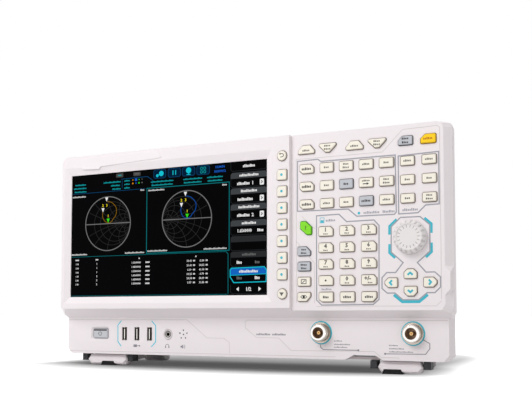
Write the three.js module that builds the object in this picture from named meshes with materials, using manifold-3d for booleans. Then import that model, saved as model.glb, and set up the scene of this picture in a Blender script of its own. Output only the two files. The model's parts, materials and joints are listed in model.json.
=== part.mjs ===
// Benchtop vector network analyzer: wide display housing with a stepped key panel,
// a sloping chin, a lower connector panel, fold-out front feet and a pull-up handle.
// Millimetres. X runs to the right, Y into the instrument, Z up; the display face is Y = 0.
import * as THREE from "three";
import { mergeVertices } from "three/addons/utils/BufferGeometryUtils.js";
import Module from "manifold-3d";

const wasm = await Module();
wasm.setup();

// General sizes
const CLEARANCE = 0.3;
const OVERRUN = 1;
const WALL = 3;
const ROUND_STEPS = 24;
const SMALL_ROUND_STEPS = 12;
const CORNER = 5;

// Screen, a ten-inch panel 222.7 wide and 125.3 high
const SCREEN_W = 222.7;
const SCREEN_H = 125.3;
const SCREEN_LEFT_MARGIN = 10.4;
const SCREEN_BOTTOM_MARGIN = 12.4;
const SCREEN_TOP_MARGIN = 19.85;
const SCREEN_LIP = 0.4;
const SCREEN_BEVEL_LEFT = 7.3;
const SCREEN_BEVEL_RIGHT = 6.1;
const SCREEN_BEVEL_BOTTOM = 7.1;
const SCREEN_BEVEL_TOP = 8.1;
const SCREEN_BEVEL_DEPTH = 2.2;
const GLASS_THICKNESS = 1.5;
const GLASS_LAP = 4.5;
const LCD_DEPTH = 8;
const LCD_LAP = 2.5;

// Column of menu keys at the right of the screen
const MENU_KEY_W = 10.1;
const MENU_KEY_CUT = 1.8;
const MENU_KEY_GAP = 11.6;
const MENU_KEY_EDGE = 1.95;
const MENU_KEY_COUNT = 7;
const MENU_FIRST_SHARE = 0.8697;
const MENU_PITCH_SHARE = 0.1211;
const MENU_PROUD = 1.9;
const ROUND_KEY_R = 4.9;
const UPPER_ROUND_SHARE = 1.01;
const LOWER_ROUND_SHARE = 0.003;

// Housing, side to side and up the front
const LEFT_SLOPE = 7.6;
const RIGHT_SLOPE = 6.6;
const PANEL_STEP_W = 1.5;
const PANEL_STEP_Y = 3.8;
const FOOT_GAP_Z = 11.8;
const LOWER_PANEL_H = 37.35;
const CHIN_H = 8.65;
const LOWER_PANEL_Y = 14.5;
const LOWER_PANEL_INSET = 6;
const FLANGE_FRONT_Y = 9;
const FLANGE_BACK_Y = 17;
const BEZEL_BACK_Y = 22;
const BEZEL_BACK_TAPER = 1.5;
const SIDE_CORNER_Z = 8;
const PANEL_CORNER = 5.5;
const BULGE_OUT = 4.5;
const BULGE_LOW_Z = 10.3;
const BULGE_HIGH_Z = 34.6;
const BULGE_SLOPE_Z = 5.3;
const NOTCH_LEFT = 98.1;
const NOTCH_RIGHT = 63;
const NOTCH_SLOPE = 7.8;
const NOTCH_H = 4.4;

// Key panel: keys from its left edge, upper rows from its top, lower rows from the raised panels' bottom
const KEY_PROUD = 2;
const KEY_FACE_INSET = 0.75;
const KEY_FLANGE = 1.1;
const KEY_ROUND = 0.9;
const KEY_TRAVEL = 1;
const FUNCTION_X = 14.4;
const FUNCTION_KEY = [14.1, 8.6];
const FUNCTION_CUT_HIGH = [3.2, 3.2];
const FUNCTION_CUT_LOW = [2.8, 2.8];
const GRID_GAP_X = 19.15;
const GRID_PITCH_X = 18.28;
const GRID_COLUMNS = 4;
const GRID_ROWS = 3;
const GRID_TOP = 31.95;
const GRID_PITCH_Z = 16.14;
const GRID_KEY = [13.2, 8.8];
const SYSTEM_GAP_X = 18.46;
const SYSTEM_PITCH_X = 18.7;
const SYSTEM_COLUMNS = 2;
const SYSTEM_KEY = [12.6, 8.3];
const SYSTEM_EDGE = 12;
const ENTRY_GAP_X = 18.15;
const ENTRY_PITCH_X = 19.8;
const ENTRY_COLUMNS = 3;
const ENTRY_ROWS = 5;
const ENTRY_BOTTOM = 9.6;
const ENTRY_PITCH_Z = 14.63;
const ENTRY_KEY = [14, 8.9];
const ENTRY_CUT = [2.8, 2.8];
const ENTRY_LAST_LEFT_CUT = [3, 2.3];
const ENTRY_LAST_RIGHT_CUT = [3.3, 3.7];
const LEFT_COLUMN_X = 11.6;
const LEFT_KEY = [12.9, 8.4];
const LEFT_COLUMN_BOTTOM = 9.9;
const LEFT_COLUMN_PITCH = 13.7;
const LEFT_TOP_CUT = [4.3, 4.3];
const LEFT_BOTTOM_CUT = [4, 4.5];
const LEFT_COLUMN_NAMES = ["left_key_4", "left_key_3", "left_key_2", "left_key_1"];
const GREEN_KEY = [11.4, 12.5];
const GREEN_X = 13.45;
const GREEN_BOTTOM = 71.95;
const GREEN_CUT_HIGH = [6.1, 5.4];
const GREEN_CUT_LOW = [6.4, 5.7];
const TOP_ROW = 14.3;
const MODE_KEY = [16.4, 8.2];
const MODE_CUT = [4.4, 5.3];
const SETUP_KEY = [16.5, 8.4];
const SETUP_CUT = [6.2, 6.2];
const TUNE_KEY = [13.1, 8.2];
const TUNE_CUT = [3.5, 3.7];
const PRESET_KEY = [13.6, 8.3];
const PRESET_CUT = [4, 3.8];
const TOP_ROW_SHARES = [0.102, 0.2505, 0.4337, 0.5827, 0.7652, 0.908];

// Knob with its encoder, and the four arrow keys under it
const KNOB_FROM_EDGE = 29;
const KNOB_BOTTOM = 60;
const KNOB_R = 14.4;
const KNOB_WALL_R = 13.9;
const KNOB_FACE_R = 12;
const KNOB_DISH_R = 10.8;
const KNOB_DISH = 0.6;
const KNOB_WALL_H = 4.5;
const KNOB_H = 7.5;
const KNOB_LIFT = 0.5;
const KNOB_NOTCHES = 18;
const KNOB_NOTCH_W = 1.3;
const KNOB_NOTCH_DEPTH = 0.7;
const BUSHING_R = 3.6;
const SHAFT_R = 3;
const ENCODER_SIZE = 13;
const KNOB_TOP_WALL = 2;
const ARROW_FROM_KNOB = 38.7;
const ARROW_X = 16.8;
const ARROW_Z = 7.4;
const ARROW_KEY = [11.6, 8.5];
const ARROW_CUT = [3, 3];

// Lower panel items, from the left and from the panel's lower edge
const POWER_X = 46.7;
const POWER_Z = 20.6;
const POWER_KEY = [18.3, 9.6];
const POWER_RECESS = 1.9;
const POWER_RECESS_DEPTH = 1.6;
const USB_X = 76.7;
const USB_PITCH = 14.9;
const USB_COUNT = 3;
const USB_Z = 20.7;
const USB_W = 5.8;
const USB_H = 13.3;
const USB_WALL = 0.45;
const USB_DEPTH = 7.5;
const USB_TONGUE = 1.3;
const JACK_FROM_USB = 21.4;
const JACK_R = 4.8;
const JACK_BORE_R = 1.8;
const JACK_PROUD = 0.6;
const JACK_LIP_DEPTH = 1.2;
const SPEAKER_FROM_JACK = 17.7;
const SPEAKER_R = 9;
const SPEAKER_HOLE_R = 0.8;
const SPEAKER_RING_R = 4.15;
const SPEAKER_HOLES = 5;
const PORT_FROM_RIGHT = [120.9, 36.8];
const PORT_Z = 23.8;
const PORT_R = 7.5;
const PORT_NECK_R = 6.9;
const PORT_HOLE_R = 8;
const PORT_PROUD = 8.5;
const PORT_BORE_R = 5;
const PORT_BORE_DEPTH = 10;
const PORT_FLANGE_R = 11;
const PORT_COLLAR_R = 9.6;
const PORT_COLLAR_H = 1.4;
const PORT_CHAMFER = 0.7;
const CONTACT_R = 1.6;
const CONTACT_BORE_R = 0.6;
const CONTACT_FRONT = 2.2;
const CONTACT_SEAT = 3;

// Rear cover, a tapered shell with vents, a fan grille and a socket bay
const COVER_DEPTH = 107;
const COVER_FRONT_INSET = 3;
const COVER_TAPER_FRONT = 6.5;
const COVER_TAPER_BACK = 21;
const COVER_TAPER_END = 27;
const COVER_TOP_DROP = 1.6;
const COVER_RISE = 0.7;
const COVER_WALL = 2.5;
const COVER_SHOULDER_SHARE = 0.17;
const COVER_HEEL_SHARE = 0.9;
const COVER_END_DROP = 6;
const VENT_COUNT = 10;
const VENT_W = 3;
const VENT_H = 70;
const VENT_START_SHARE = 0.3;
const VENT_END_SHARE = 0.78;
const VENT_Z_SHARE = 0.55;
const BAY_X_SHARE = 0.67;
const BAY_W = 162;
const BAY_H = 42;
const BAY_Z = 26;
const BAY_DEPTH = 9;
const BAY_RIM = 4;
const BRACKET_THICKNESS = 1.2;
const LAN = [16.4, 13.8];
const USB_SQUARE = [12.4, 11.4];
const VIDEO = [16, 6.4];
const SOCKET_LENGTH = 7;
const SOCKET_WALL = 1;
const BNC_R = 4.8;
const BNC_BORE_R = 3.6;
const BNC_LENGTH = 8.5;
const BNC_PIN_R = 0.9;
const BRACKET_SHARES = [0.08, 0.22, 0.36, 0.52, 0.72, 0.9];
const INLET_W = 29;
const INLET_H = 23;
const INLET_FLANGE = 5;
const INLET_FLANGE_THICKNESS = 1.7;
const INLET_CORE_W = 22;
const INLET_CORE_H = 15;
const INLET_BODY_DEPTH = 22;
const INLET_POCKET = 16;
const INLET_PIN = [2, 4];
const INLET_PIN_PITCH = 7;
const INLET_PIN_SET = 5.2;
const INLET_X_SHARE = 0.16;
const INLET_Z = 47;

// Fan
const FAN_SIZE = 62;
const FAN_DEPTH = 16;
const FAN_BORE_R = 28.5;
const FAN_HUB_R = 11;
const FAN_BLADE_R = 27;
const FAN_BLADES = 7;
const FAN_BLADE_THICKNESS = 1.6;
const FAN_BLADE_PITCH = 0.6;
const FAN_STRUT_W = 4;
const FAN_STRUT_THICKNESS = 2.5;
const FAN_AXLE_R = 2;
const FAN_X_SHARE = 0.3;
const FAN_Z_SHARE = 0.6;
const GRILLE_BARS = 8;
const GRILLE_BAR_SHARE = 0.35;

// Carry handle that pulls up through the roof
const HANDLE_W = 168;
const HANDLE_GRIP_H = 7.65;
const HANDLE_GRIP_D = 20;
const HANDLE_Y_SHARE = 0.5;
const HANDLE_LEG_FROM_END = 10;
const HANDLE_LEG_W = 8;
const HANDLE_LEG_D = 12;
const HANDLE_PULL = 28;
const HANDLE_HEAD = 6;
const HANDLE_HEAD_LAP = 3;
const HANDLE_ROUND = 3;
const POCKET_FROM_LEG = 11;
const POCKET_D = 34;
const POCKET_DEPTH = 14;

// Fold-out front feet and rear feet
const FOOT_LEFT_X = 28;
const FOOT_RIGHT_FROM_RIGHT = 29;
const FOOT_W = 49.5;
const RIGHT_FOOT_W = 41.1;
const FOOT_FRONT_Y = 18;
const FOOT_LENGTH = 46;
const FOOT_BAR_D = 12;
const FOOT_TIP = 3.5;
const FOOT_TOP_GAP = 0.8;
const FOOT_FLOOR_GAP = 1;
const FOOT_CHAMFER = 1.6;
const FOOT_TOP_CHAMFER = 2.6;
const FOOT_AXIS_Y = 4.5;
const FOOT_AXIS_Z = 6.4;
const FOOT_PIN_R = 2;
const FOOT_PIN_L = 4;
const EAR_W = 6;
const EAR_Y = 10;
const EAR_BELOW = 4.5;
const FOOT_REAR_H = 7;
const PAD_LEFT_SHARES = [0.34, 0.71];
const PAD_RIGHT_SHARES = [0.1, 0.57];
const PAD_H = 4;
const PAD_SLOPE = 2.2;
const PAD_D = 9;
const REAR_FOOT_W = 26;
const REAR_FOOT_D = 12;
const REAR_FOOT_X_SHARES = [0.13, 0.87];
const REAR_FOOT_FROM_BACK = 22;
const REAR_FOOT_CUT = 2;

// Inner structure
const BOARD_THICKNESS = 1.6;
const BOARD_GAP = 5.4;
const POST_R = 2.5;
const POST_EDGE = 5.8;
const POST_TOP_SHARES = [0.025, 0.955];
const POST_BOTTOM_SHARES = [0.66, 0.955];
const MAT_MARGIN = 1.8;
const MAT_WEB = 1.2;
const CHASSIS_THICKNESS = 1.5;
const CHASSIS_GAP = 2;
const CHASSIS_INSET = 9;
const CHASSIS_LIP = 18;
const MODULE_MARGIN = 14;
const MODULE_H = 36;
const MODULE_D = 34;
const MODULE_RIBS = 6;
const MODULE_RIB_H = 3;
const SUPPLY_W = 78;
const SUPPLY_H = 96;
const SUPPLY_D = 44;
const MAIN_BOARD_W = 150;
const MAIN_BOARD_H = 128;
const HEATSINK_W = 44;
const HEATSINK_FINS = 7;
const HEATSINK_H = 12;
const FIN_W = 2.4;

// Derived positions
const JACK_X = USB_X + (USB_COUNT - 1) * USB_PITCH + JACK_FROM_USB;
const SPEAKER_X = JACK_X + SPEAKER_FROM_JACK;
const HANDLE_LEG_X = HANDLE_W / 2 - HANDLE_LEG_FROM_END;
const POCKET_W = 2 * (HANDLE_LEG_X - POCKET_FROM_LEG);
const MODULE_W = PORT_FROM_RIGHT[0] - PORT_FROM_RIGHT[1] + 2 * MODULE_MARGIN;
const CHIN_END_Y = LOWER_PANEL_Y + OVERRUN;
const MENU_LEFT = SCREEN_LEFT_MARGIN + SCREEN_W + MENU_KEY_GAP;
const DISPLAY_W = MENU_LEFT + MENU_KEY_W + MENU_KEY_EDGE;
const GRID_X = FUNCTION_X + GRID_GAP_X;
const SYSTEM_X = GRID_X + (GRID_COLUMNS - 1) * GRID_PITCH_X + SYSTEM_GAP_X;
const KEY_PANEL_W = SYSTEM_X + SYSTEM_PITCH_X * (SYSTEM_COLUMNS - 1) + SYSTEM_EDGE;
const TOTAL_W = LEFT_SLOPE + DISPLAY_W + PANEL_STEP_W + KEY_PANEL_W + RIGHT_SLOPE;
const HALF_W = TOTAL_W / 2;
const DISPLAY_LEFT = -HALF_W + LEFT_SLOPE;
const DISPLAY_RIGHT = DISPLAY_LEFT + DISPLAY_W;
const KEYS_LEFT = DISPLAY_RIGHT + PANEL_STEP_W;
const KEYS_RIGHT = KEYS_LEFT + KEY_PANEL_W;
const LOWER_BOTTOM = FOOT_GAP_Z;
const LOWER_TOP = LOWER_BOTTOM + LOWER_PANEL_H;
const RAISED_BOTTOM = LOWER_TOP + CHIN_H;
const RAISED_TOP = RAISED_BOTTOM + SCREEN_BOTTOM_MARGIN + SCREEN_H + SCREEN_TOP_MARGIN;
const SCREEN_LEFT = DISPLAY_LEFT + SCREEN_LEFT_MARGIN;
const SCREEN_RIGHT = SCREEN_LEFT + SCREEN_W;
const SCREEN_BOTTOM = RAISED_BOTTOM + SCREEN_BOTTOM_MARGIN;
const SCREEN_TOP = SCREEN_BOTTOM + SCREEN_H;
const MENU_X = DISPLAY_LEFT + MENU_LEFT + MENU_KEY_W / 2;
const KEY_WALL_BACK = PANEL_STEP_Y + WALL;
const LOWER_BACK_Y = LOWER_PANEL_Y + WALL;
const BOARD_Y = KEY_WALL_BACK + BOARD_GAP;
const CHASSIS_Y = BEZEL_BACK_Y + CHASSIS_GAP;
const CHASSIS_BACK_Y = CHASSIS_Y + CHASSIS_THICKNESS;
const COVER_FRONT_Y = BEZEL_BACK_Y + CLEARANCE;
const COVER_BACK_Y = COVER_FRONT_Y + COVER_DEPTH;
const COVER_BOTTOM = LOWER_BOTTOM + CLEARANCE;
const COVER_ROOF = RAISED_TOP + COVER_RISE;
const KNOB_X = KEYS_RIGHT - KNOB_FROM_EDGE;
const KNOB_Z = RAISED_BOTTOM + KNOB_BOTTOM;

// Outlines are lists of [x, z] points, counter-clockwise as seen from the front.
function cutOutline([width, height], cuts = {}) {
  const [blX, blZ] = cuts.lowLeft ?? [KEY_ROUND, KEY_ROUND];
  const [brX, brZ] = cuts.lowRight ?? [KEY_ROUND, KEY_ROUND];
  const [trX, trZ] = cuts.highRight ?? [KEY_ROUND, KEY_ROUND];
  const [tlX, tlZ] = cuts.highLeft ?? [KEY_ROUND, KEY_ROUND];
  const [x, z] = [width / 2, height / 2];
  return [
    [-x + blX, -z],
    [x - brX, -z],
    [x, -z + brZ],
    [x, z - trZ],
    [x - trX, z],
    [-x + tlX, z],
    [-x, z - tlZ],
    [-x, -z + blZ],
  ];
}

function roundOutline(radius, steps) {
  return Array.from({ length: steps }, (_, i) => {
    const angle = (2 * Math.PI * i) / steps;
    return [radius * Math.cos(angle), radius * Math.sin(angle)];
  });
}

function boxOutline(left, right, bottom, top) {
  return [
    [left, bottom],
    [right, bottom],
    [right, top],
    [left, top],
  ];
}

function shift(points, x, z) {
  return points.map(([px, pz]) => [px + x, pz + z]);
}

// Every edge moves outwards by the same distance, and the corners stay mitred.
function grow(points, distance) {
  return points.map(([x, z], i) => {
    const [lastX, lastZ] = points.at(i - 1);
    const [nextX, nextZ] = points[(i + 1) % points.length];
    const a = new THREE.Vector2(x - lastX, z - lastZ).normalize();
    const b = new THREE.Vector2(nextX - x, nextZ - z).normalize();
    const reach = distance / (1 + a.dot(b));
    return [x + (a.y + b.y) * reach, z - (a.x + b.x) * reach];
  });
}

function capFaces(points) {
  const flat = points.map(([x, z]) => new THREE.Vector2(x, z));
  return THREE.ShapeUtils.triangulateShape(flat, []).map(([a, b, c]) => {
    const turn = flat[b].clone().sub(flat[a]).cross(flat[c].clone().sub(flat[a]));
    return turn > 0 ? [a, b, c] : [a, c, b];
  });
}

// Skin over outlines set one behind the other, all with the same number of points.
function loft(rings) {
  const count = rings[0].points.length;
  const vertices = rings.flatMap(({ y, points }) => points.flatMap(([x, z]) => [x, y, z]));
  const faces = capFaces(rings[0].points);
  for (let ring = 0; ring < rings.length - 1; ring++) {
    for (let i = 0; i < count; i++) {
      const a = ring * count + i;
      const b = ring * count + ((i + 1) % count);
      faces.push([a, b + count, b], [a, a + count, b + count]);
    }
  }
  const last = (rings.length - 1) * count;
  capFaces(rings.at(-1).points).forEach(([a, b, c]) => faces.push([last + a, last + c, last + b]));
  const geometry = new THREE.BufferGeometry();
  geometry.setAttribute("position", new THREE.Float32BufferAttribute(vertices, 3));
  geometry.setIndex(faces.flat());
  return solid(geometry);
}

function plate(points, front, back) {
  return loft([
    { y: front, points },
    { y: back, points },
  ]);
}

function solid(geometry) {
  geometry.deleteAttribute("normal");
  geometry.deleteAttribute("uv");
  const merged = mergeVertices(geometry);
  const vertProperties = new Float32Array(merged.attributes.position.array);
  const triVerts = new Uint32Array(merged.index.array);
  return new wasm.Manifold(new wasm.Mesh({ numProp: 3, vertProperties, triVerts }));
}

function block(left, right, front, back, bottom, top) {
  return plate(boxOutline(left, right, bottom, top), front, back);
}

// Turned piece on an axis along Y through x, z: the profile lists [radius, y] and runs down the outside from front to back.
function turned(profile, x, z, steps = ROUND_STEPS) {
  const points = profile.map(([radius, y]) => new THREE.Vector2(radius, y));
  const geometry = new THREE.LatheGeometry(points, steps);
  return solid(geometry.translate(x, 0, z));
}

function rod(radius, front, back, x, z, steps = ROUND_STEPS) {
  return plate(shift(roundOutline(radius, steps), x, z), front, back);
}

// Rod along X from left to right.
function crossRod(radius, left, right, y, z) {
  const geometry = new THREE.CylinderGeometry(radius, radius, right - left, SMALL_ROUND_STEPS);
  return solid(geometry.rotateZ(Math.PI / 2).translate((left + right) / 2, y, z));
}

function join(first, ...others) {
  return others.reduce((made, next) => made.add(next), first);
}

function cut(first, ...others) {
  return others.reduce((made, next) => made.subtract(next), first);
}

// Where everything on the key panel sits
const fromLeft = (x) => KEYS_LEFT + x;
const fromTop = (z) => RAISED_TOP - z;
const fromRaised = (z) => RAISED_BOTTOM + z;
const topRowX = TOP_ROW_SHARES.map((share) => fromLeft(share * KEY_PANEL_W));
const gridRowZ = (row) => fromTop(GRID_TOP + row * GRID_PITCH_Z);
const menuKeyZ = (i) => SCREEN_BOTTOM + (MENU_FIRST_SHARE - i * MENU_PITCH_SHARE) * SCREEN_H;

// Keys that move one by one: name, outline, centre, height of the face over the display face, colour
const keys = [];
function addKey(name, outline, x, z, face, color) {
  keys.push({ name, outline: shift(outline, x, z), face, color });
}

const KEY_CREAM = "#F4F0E4";
const KEY_GREY = "#B9BDC4";
const KEY_GREEN = "#86E02C";
const KEY_YELLOW = "#FFD81F";
const KEY_FACE_Y = PANEL_STEP_Y - KEY_PROUD;

function listKeys() {
  const modeTop = { highLeft: MODE_CUT, highRight: MODE_CUT };
  const setupLow = { lowLeft: SETUP_CUT, lowRight: SETUP_CUT };
  const topKeys = [
    ["mode_key", cutOutline(MODE_KEY, modeTop), KEY_CREAM],
    ["mode_setup_key", cutOutline(SETUP_KEY, setupLow), KEY_CREAM],
    ["measure_key", cutOutline(MODE_KEY, modeTop), KEY_CREAM],
    ["measure_setup_key", cutOutline(SETUP_KEY, setupLow), KEY_CREAM],
    ["tune_key", cutOutline(TUNE_KEY, { highLeft: TUNE_CUT }), KEY_GREY],
    ["preset_key", cutOutline(PRESET_KEY, { highLeft: PRESET_CUT }), KEY_YELLOW],
  ];
  topKeys.forEach(([name, outline, color], i) => {
    addKey(name, outline, topRowX[i], fromTop(TOP_ROW), KEY_FACE_Y, color);
  });

  const functionCuts = { highRight: FUNCTION_CUT_HIGH, lowLeft: FUNCTION_CUT_LOW };
  for (let row = 0; row < GRID_ROWS; row++) {
    const outline = cutOutline(FUNCTION_KEY, functionCuts);
    addKey(`function_key_${row + 1}`, outline, fromLeft(FUNCTION_X), gridRowZ(row), KEY_FACE_Y, KEY_CREAM);
  }

  LEFT_COLUMN_NAMES.forEach((name, i) => {
    const cuts = {};
    if (i === 0) cuts.lowRight = LEFT_BOTTOM_CUT;
    if (i === LEFT_COLUMN_NAMES.length - 1) cuts.highRight = LEFT_TOP_CUT;
    const z = fromRaised(LEFT_COLUMN_BOTTOM + i * LEFT_COLUMN_PITCH);
    const color = i > 1 ? KEY_GREY : KEY_CREAM;
    addKey(name, cutOutline(LEFT_KEY, cuts), fromLeft(LEFT_COLUMN_X), z, KEY_FACE_Y, color);
  });
  const greenCuts = { highRight: GREEN_CUT_HIGH, lowLeft: GREEN_CUT_LOW };
  const green = cutOutline(GREEN_KEY, greenCuts);
  addKey("help_key", green, fromLeft(GREEN_X), fromRaised(GREEN_BOTTOM), KEY_FACE_Y, KEY_GREEN);

  const arrowZ = KNOB_Z - ARROW_FROM_KNOB;
  const arrows = [
    ["arrow_up_key", { highLeft: ARROW_CUT, highRight: ARROW_CUT }, 0, ARROW_Z],
    ["arrow_down_key", { lowLeft: ARROW_CUT, lowRight: ARROW_CUT }, 0, -ARROW_Z],
    ["arrow_left_key", { lowLeft: ARROW_CUT, highLeft: ARROW_CUT }, -ARROW_X, 0],
    ["arrow_right_key", { lowRight: ARROW_CUT, highRight: ARROW_CUT }, ARROW_X, 0],
  ];
  arrows.forEach(([name, cuts, x, z]) => {
    addKey(name, cutOutline(ARROW_KEY, cuts), KNOB_X + x, arrowZ + z, KEY_FACE_Y, KEY_CREAM);
  });

  const menuKey = cutOutline([MENU_KEY_W, MENU_KEY_W], { highLeft: [MENU_KEY_CUT, MENU_KEY_CUT] });
  for (let i = 0; i < MENU_KEY_COUNT; i++) {
    addKey(`menu_key_${i + 1}`, menuKey, MENU_X, menuKeyZ(i), -MENU_PROUD, KEY_CREAM);
  }
  const round = roundOutline(ROUND_KEY_R, SMALL_ROUND_STEPS);
  const upperZ = SCREEN_BOTTOM + UPPER_ROUND_SHARE * SCREEN_H;
  const lowerZ = SCREEN_BOTTOM + LOWER_ROUND_SHARE * SCREEN_H;
  addKey("return_key", round, MENU_X, upperZ, -MENU_PROUD, KEY_CREAM);
  addKey("page_key", round, MENU_X, lowerZ, -MENU_PROUD, KEY_CREAM);
}
listKeys();

// Keys that share one silicone sheet: analyzer, system and number keys
function matOutlines() {
  const outlines = [];
  for (let row = 0; row < GRID_ROWS; row++) {
    for (let column = 0; column < GRID_COLUMNS; column++) {
      const x = fromLeft(GRID_X + column * GRID_PITCH_X);
      outlines.push(shift(cutOutline(GRID_KEY), x, gridRowZ(row)));
    }
    for (let column = 0; column < SYSTEM_COLUMNS; column++) {
      const x = fromLeft(SYSTEM_X + column * SYSTEM_PITCH_X);
      outlines.push(shift(cutOutline(SYSTEM_KEY), x, gridRowZ(row)));
    }
  }
  for (let row = 0; row < ENTRY_ROWS; row++) {
    for (let column = 0; column < ENTRY_COLUMNS; column++) {
      const x = fromLeft(FUNCTION_X + ENTRY_GAP_X + column * ENTRY_PITCH_X);
      const z = fromRaised(ENTRY_BOTTOM + row * ENTRY_PITCH_Z);
      const cuts = row > 0 ? { highRight: ENTRY_CUT } : {};
      if (row === 0 && column === 0) cuts.lowLeft = ENTRY_LAST_LEFT_CUT;
      if (row === 0 && column === ENTRY_COLUMNS - 1) cuts.lowRight = ENTRY_LAST_RIGHT_CUT;
      outlines.push(shift(cutOutline(ENTRY_KEY, cuts), x, z));
    }
  }
  return outlines;
}
const matKeys = matOutlines();

// Front housing. The chin falls back in one plane from the display face to the lower panel.
const chinZ = (y) => RAISED_BOTTOM - (CHIN_H * Math.min(y, CHIN_END_Y)) / LOWER_PANEL_Y;
const slopeShare = (y, start) => Math.min(1, (y - start) / (FLANGE_FRONT_Y - start));
const backTaper = (y) => (y > FLANGE_BACK_Y ? BEZEL_BACK_TAPER : 0);

function displayRing(y) {
  const left = DISPLAY_LEFT - LEFT_SLOPE * slopeShare(y, 0) + backTaper(y);
  const right = DISPLAY_RIGHT + (PANEL_STEP_W * Math.min(y, PANEL_STEP_Y)) / PANEL_STEP_Y;
  const low = chinZ(y);
  const high = RAISED_TOP - backTaper(y);
  return {
    y,
    points: [
      [left + CORNER, low],
      [right, low],
      [right, high],
      [left + PANEL_CORNER, high],
      [left + PANEL_CORNER * 0.3, high - PANEL_CORNER * 0.3],
      [left, high - PANEL_CORNER],
      [left, low + SIDE_CORNER_Z],
    ],
  };
}

function keyRing(y, out = 0) {
  const share = slopeShare(y, PANEL_STEP_Y);
  const right = KEYS_RIGHT + RIGHT_SLOPE * share - backTaper(y);
  const bulge = right + BULGE_OUT * (1 - share) * (1 - out);
  const low = chinZ(y);
  const high = RAISED_TOP - backTaper(y);
  const bulgeLow = RAISED_BOTTOM + BULGE_LOW_Z;
  const bulgeHigh = RAISED_BOTTOM + BULGE_HIGH_Z;
  return {
    y,
    points: [
      [KEYS_LEFT - 2 * PANEL_STEP_W, low],
      [right - CORNER * 0.6, low],
      [right, low + CORNER],
      [right, bulgeLow],
      [bulge, bulgeLow + BULGE_SLOPE_Z],
      [bulge, bulgeHigh - BULGE_SLOPE_Z],
      [right, bulgeHigh],
      [right, high - PANEL_CORNER],
      [right - PANEL_CORNER * 0.3, high - PANEL_CORNER * 0.3],
      [right - PANEL_CORNER, high],
      [KEYS_LEFT - 2 * PANEL_STEP_W, high],
    ],
  };
}

function lowerRing(y) {
  const half = HALF_W - LOWER_PANEL_INSET + (y - LOWER_PANEL_Y) * 0.5;
  const high = LOWER_TOP + CORNER;
  const notchLeft = HALF_W - NOTCH_LEFT;
  const notchRight = HALF_W - NOTCH_RIGHT;
  return {
    y,
    points: [
      [-half + CORNER, LOWER_BOTTOM],
      [notchLeft, LOWER_BOTTOM],
      [notchLeft + NOTCH_SLOPE, LOWER_BOTTOM + NOTCH_H],
      [notchRight - NOTCH_SLOPE, LOWER_BOTTOM + NOTCH_H],
      [notchRight, LOWER_BOTTOM],
      [half - CORNER, LOWER_BOTTOM],
      [half, LOWER_BOTTOM + CORNER],
      [half, high],
      [-half, high],
      [-half, LOWER_BOTTOM + CORNER],
    ],
  };
}

function inset(ring, y) {
  return { y, points: grow(ring.points, -WALL) };
}

const hollowEnd = BEZEL_BACK_Y + OVERRUN;
const menuWallLeft = DISPLAY_LEFT + MENU_LEFT - WALL;
const bezelBottomNotch = LOWER_BOTTOM + NOTCH_H + WALL;

function bezelShell() {
  const stations = [0, FLANGE_FRONT_Y, CHIN_END_Y, FLANGE_BACK_Y, BEZEL_BACK_Y];
  const keyStations = [PANEL_STEP_Y, ...stations.slice(1)];
  const lowerStations = [LOWER_PANEL_Y, FLANGE_BACK_Y, BEZEL_BACK_Y];
  return join(
    loft(stations.map(displayRing)),
    loft(keyStations.map((y) => keyRing(y))),
    loft(lowerStations.map(lowerRing)),
  );
}

function bezelHollows() {
  const stop = (ring, y) => {
    const hollow = inset(ring, y);
    hollow.points[1][0] = menuWallLeft;
    hollow.points[2][0] = menuWallLeft;
    return hollow;
  };
  const flangeY = FLANGE_FRONT_Y + WALL / 2;
  const display = loft([
    stop(displayRing(0), WALL),
    stop(displayRing(FLANGE_FRONT_Y), flangeY),
    stop(displayRing(BEZEL_BACK_Y), hollowEnd),
  ]);
  const keyArea = loft([
    inset(keyRing(PANEL_STEP_Y, 1), KEY_WALL_BACK),
    inset(keyRing(FLANGE_FRONT_Y, 1), flangeY),
    inset(keyRing(BEZEL_BACK_Y, 1), hollowEnd),
  ]);
  const raisedHollowLow = RAISED_BOTTOM + WALL;
  const raisedHollowHigh = RAISED_TOP - WALL - BEZEL_BACK_TAPER;
  const between = block(
    menuWallLeft - OVERRUN,
    KEYS_LEFT + 2 * WALL,
    KEY_WALL_BACK,
    hollowEnd,
    raisedHollowLow,
    raisedHollowHigh,
  );
  const half = HALF_W - LOWER_PANEL_INSET - WALL;
  const lower = block(-half, half, LOWER_BACK_Y, hollowEnd, bezelBottomNotch, RAISED_BOTTOM + 2 * WALL);
  const windowOutline = boxOutline(SCREEN_LEFT, SCREEN_RIGHT, SCREEN_BOTTOM, SCREEN_TOP);
  const opening = grow(windowOutline, SCREEN_LIP);
  const rim = boxOutline(
    SCREEN_LEFT - SCREEN_BEVEL_LEFT,
    SCREEN_RIGHT + SCREEN_BEVEL_RIGHT,
    SCREEN_BOTTOM - SCREEN_BEVEL_BOTTOM,
    SCREEN_TOP + SCREEN_BEVEL_TOP,
  );
  const screen = loft([
    { y: -OVERRUN, points: rim },
    { y: 0, points: rim },
    { y: SCREEN_BEVEL_DEPTH, points: opening },
    { y: WALL + OVERRUN, points: opening },
  ]);
  return [display, keyArea, between, lower, screen];
}

// Openings of the lower panel
const itemX = (x) => -HALF_W + x;
const itemZ = (z) => LOWER_BOTTOM + z;
const portX = PORT_FROM_RIGHT.map((x) => HALF_W - x);
const usbX = Array.from({ length: USB_COUNT }, (_, i) => itemX(USB_X + i * USB_PITCH));
const powerOutline = shift(cutOutline(POWER_KEY), itemX(POWER_X), itemZ(POWER_Z));
const lowerStart = LOWER_PANEL_Y - OVERRUN;
const lowerEnd = LOWER_BACK_Y + OVERRUN;

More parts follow.
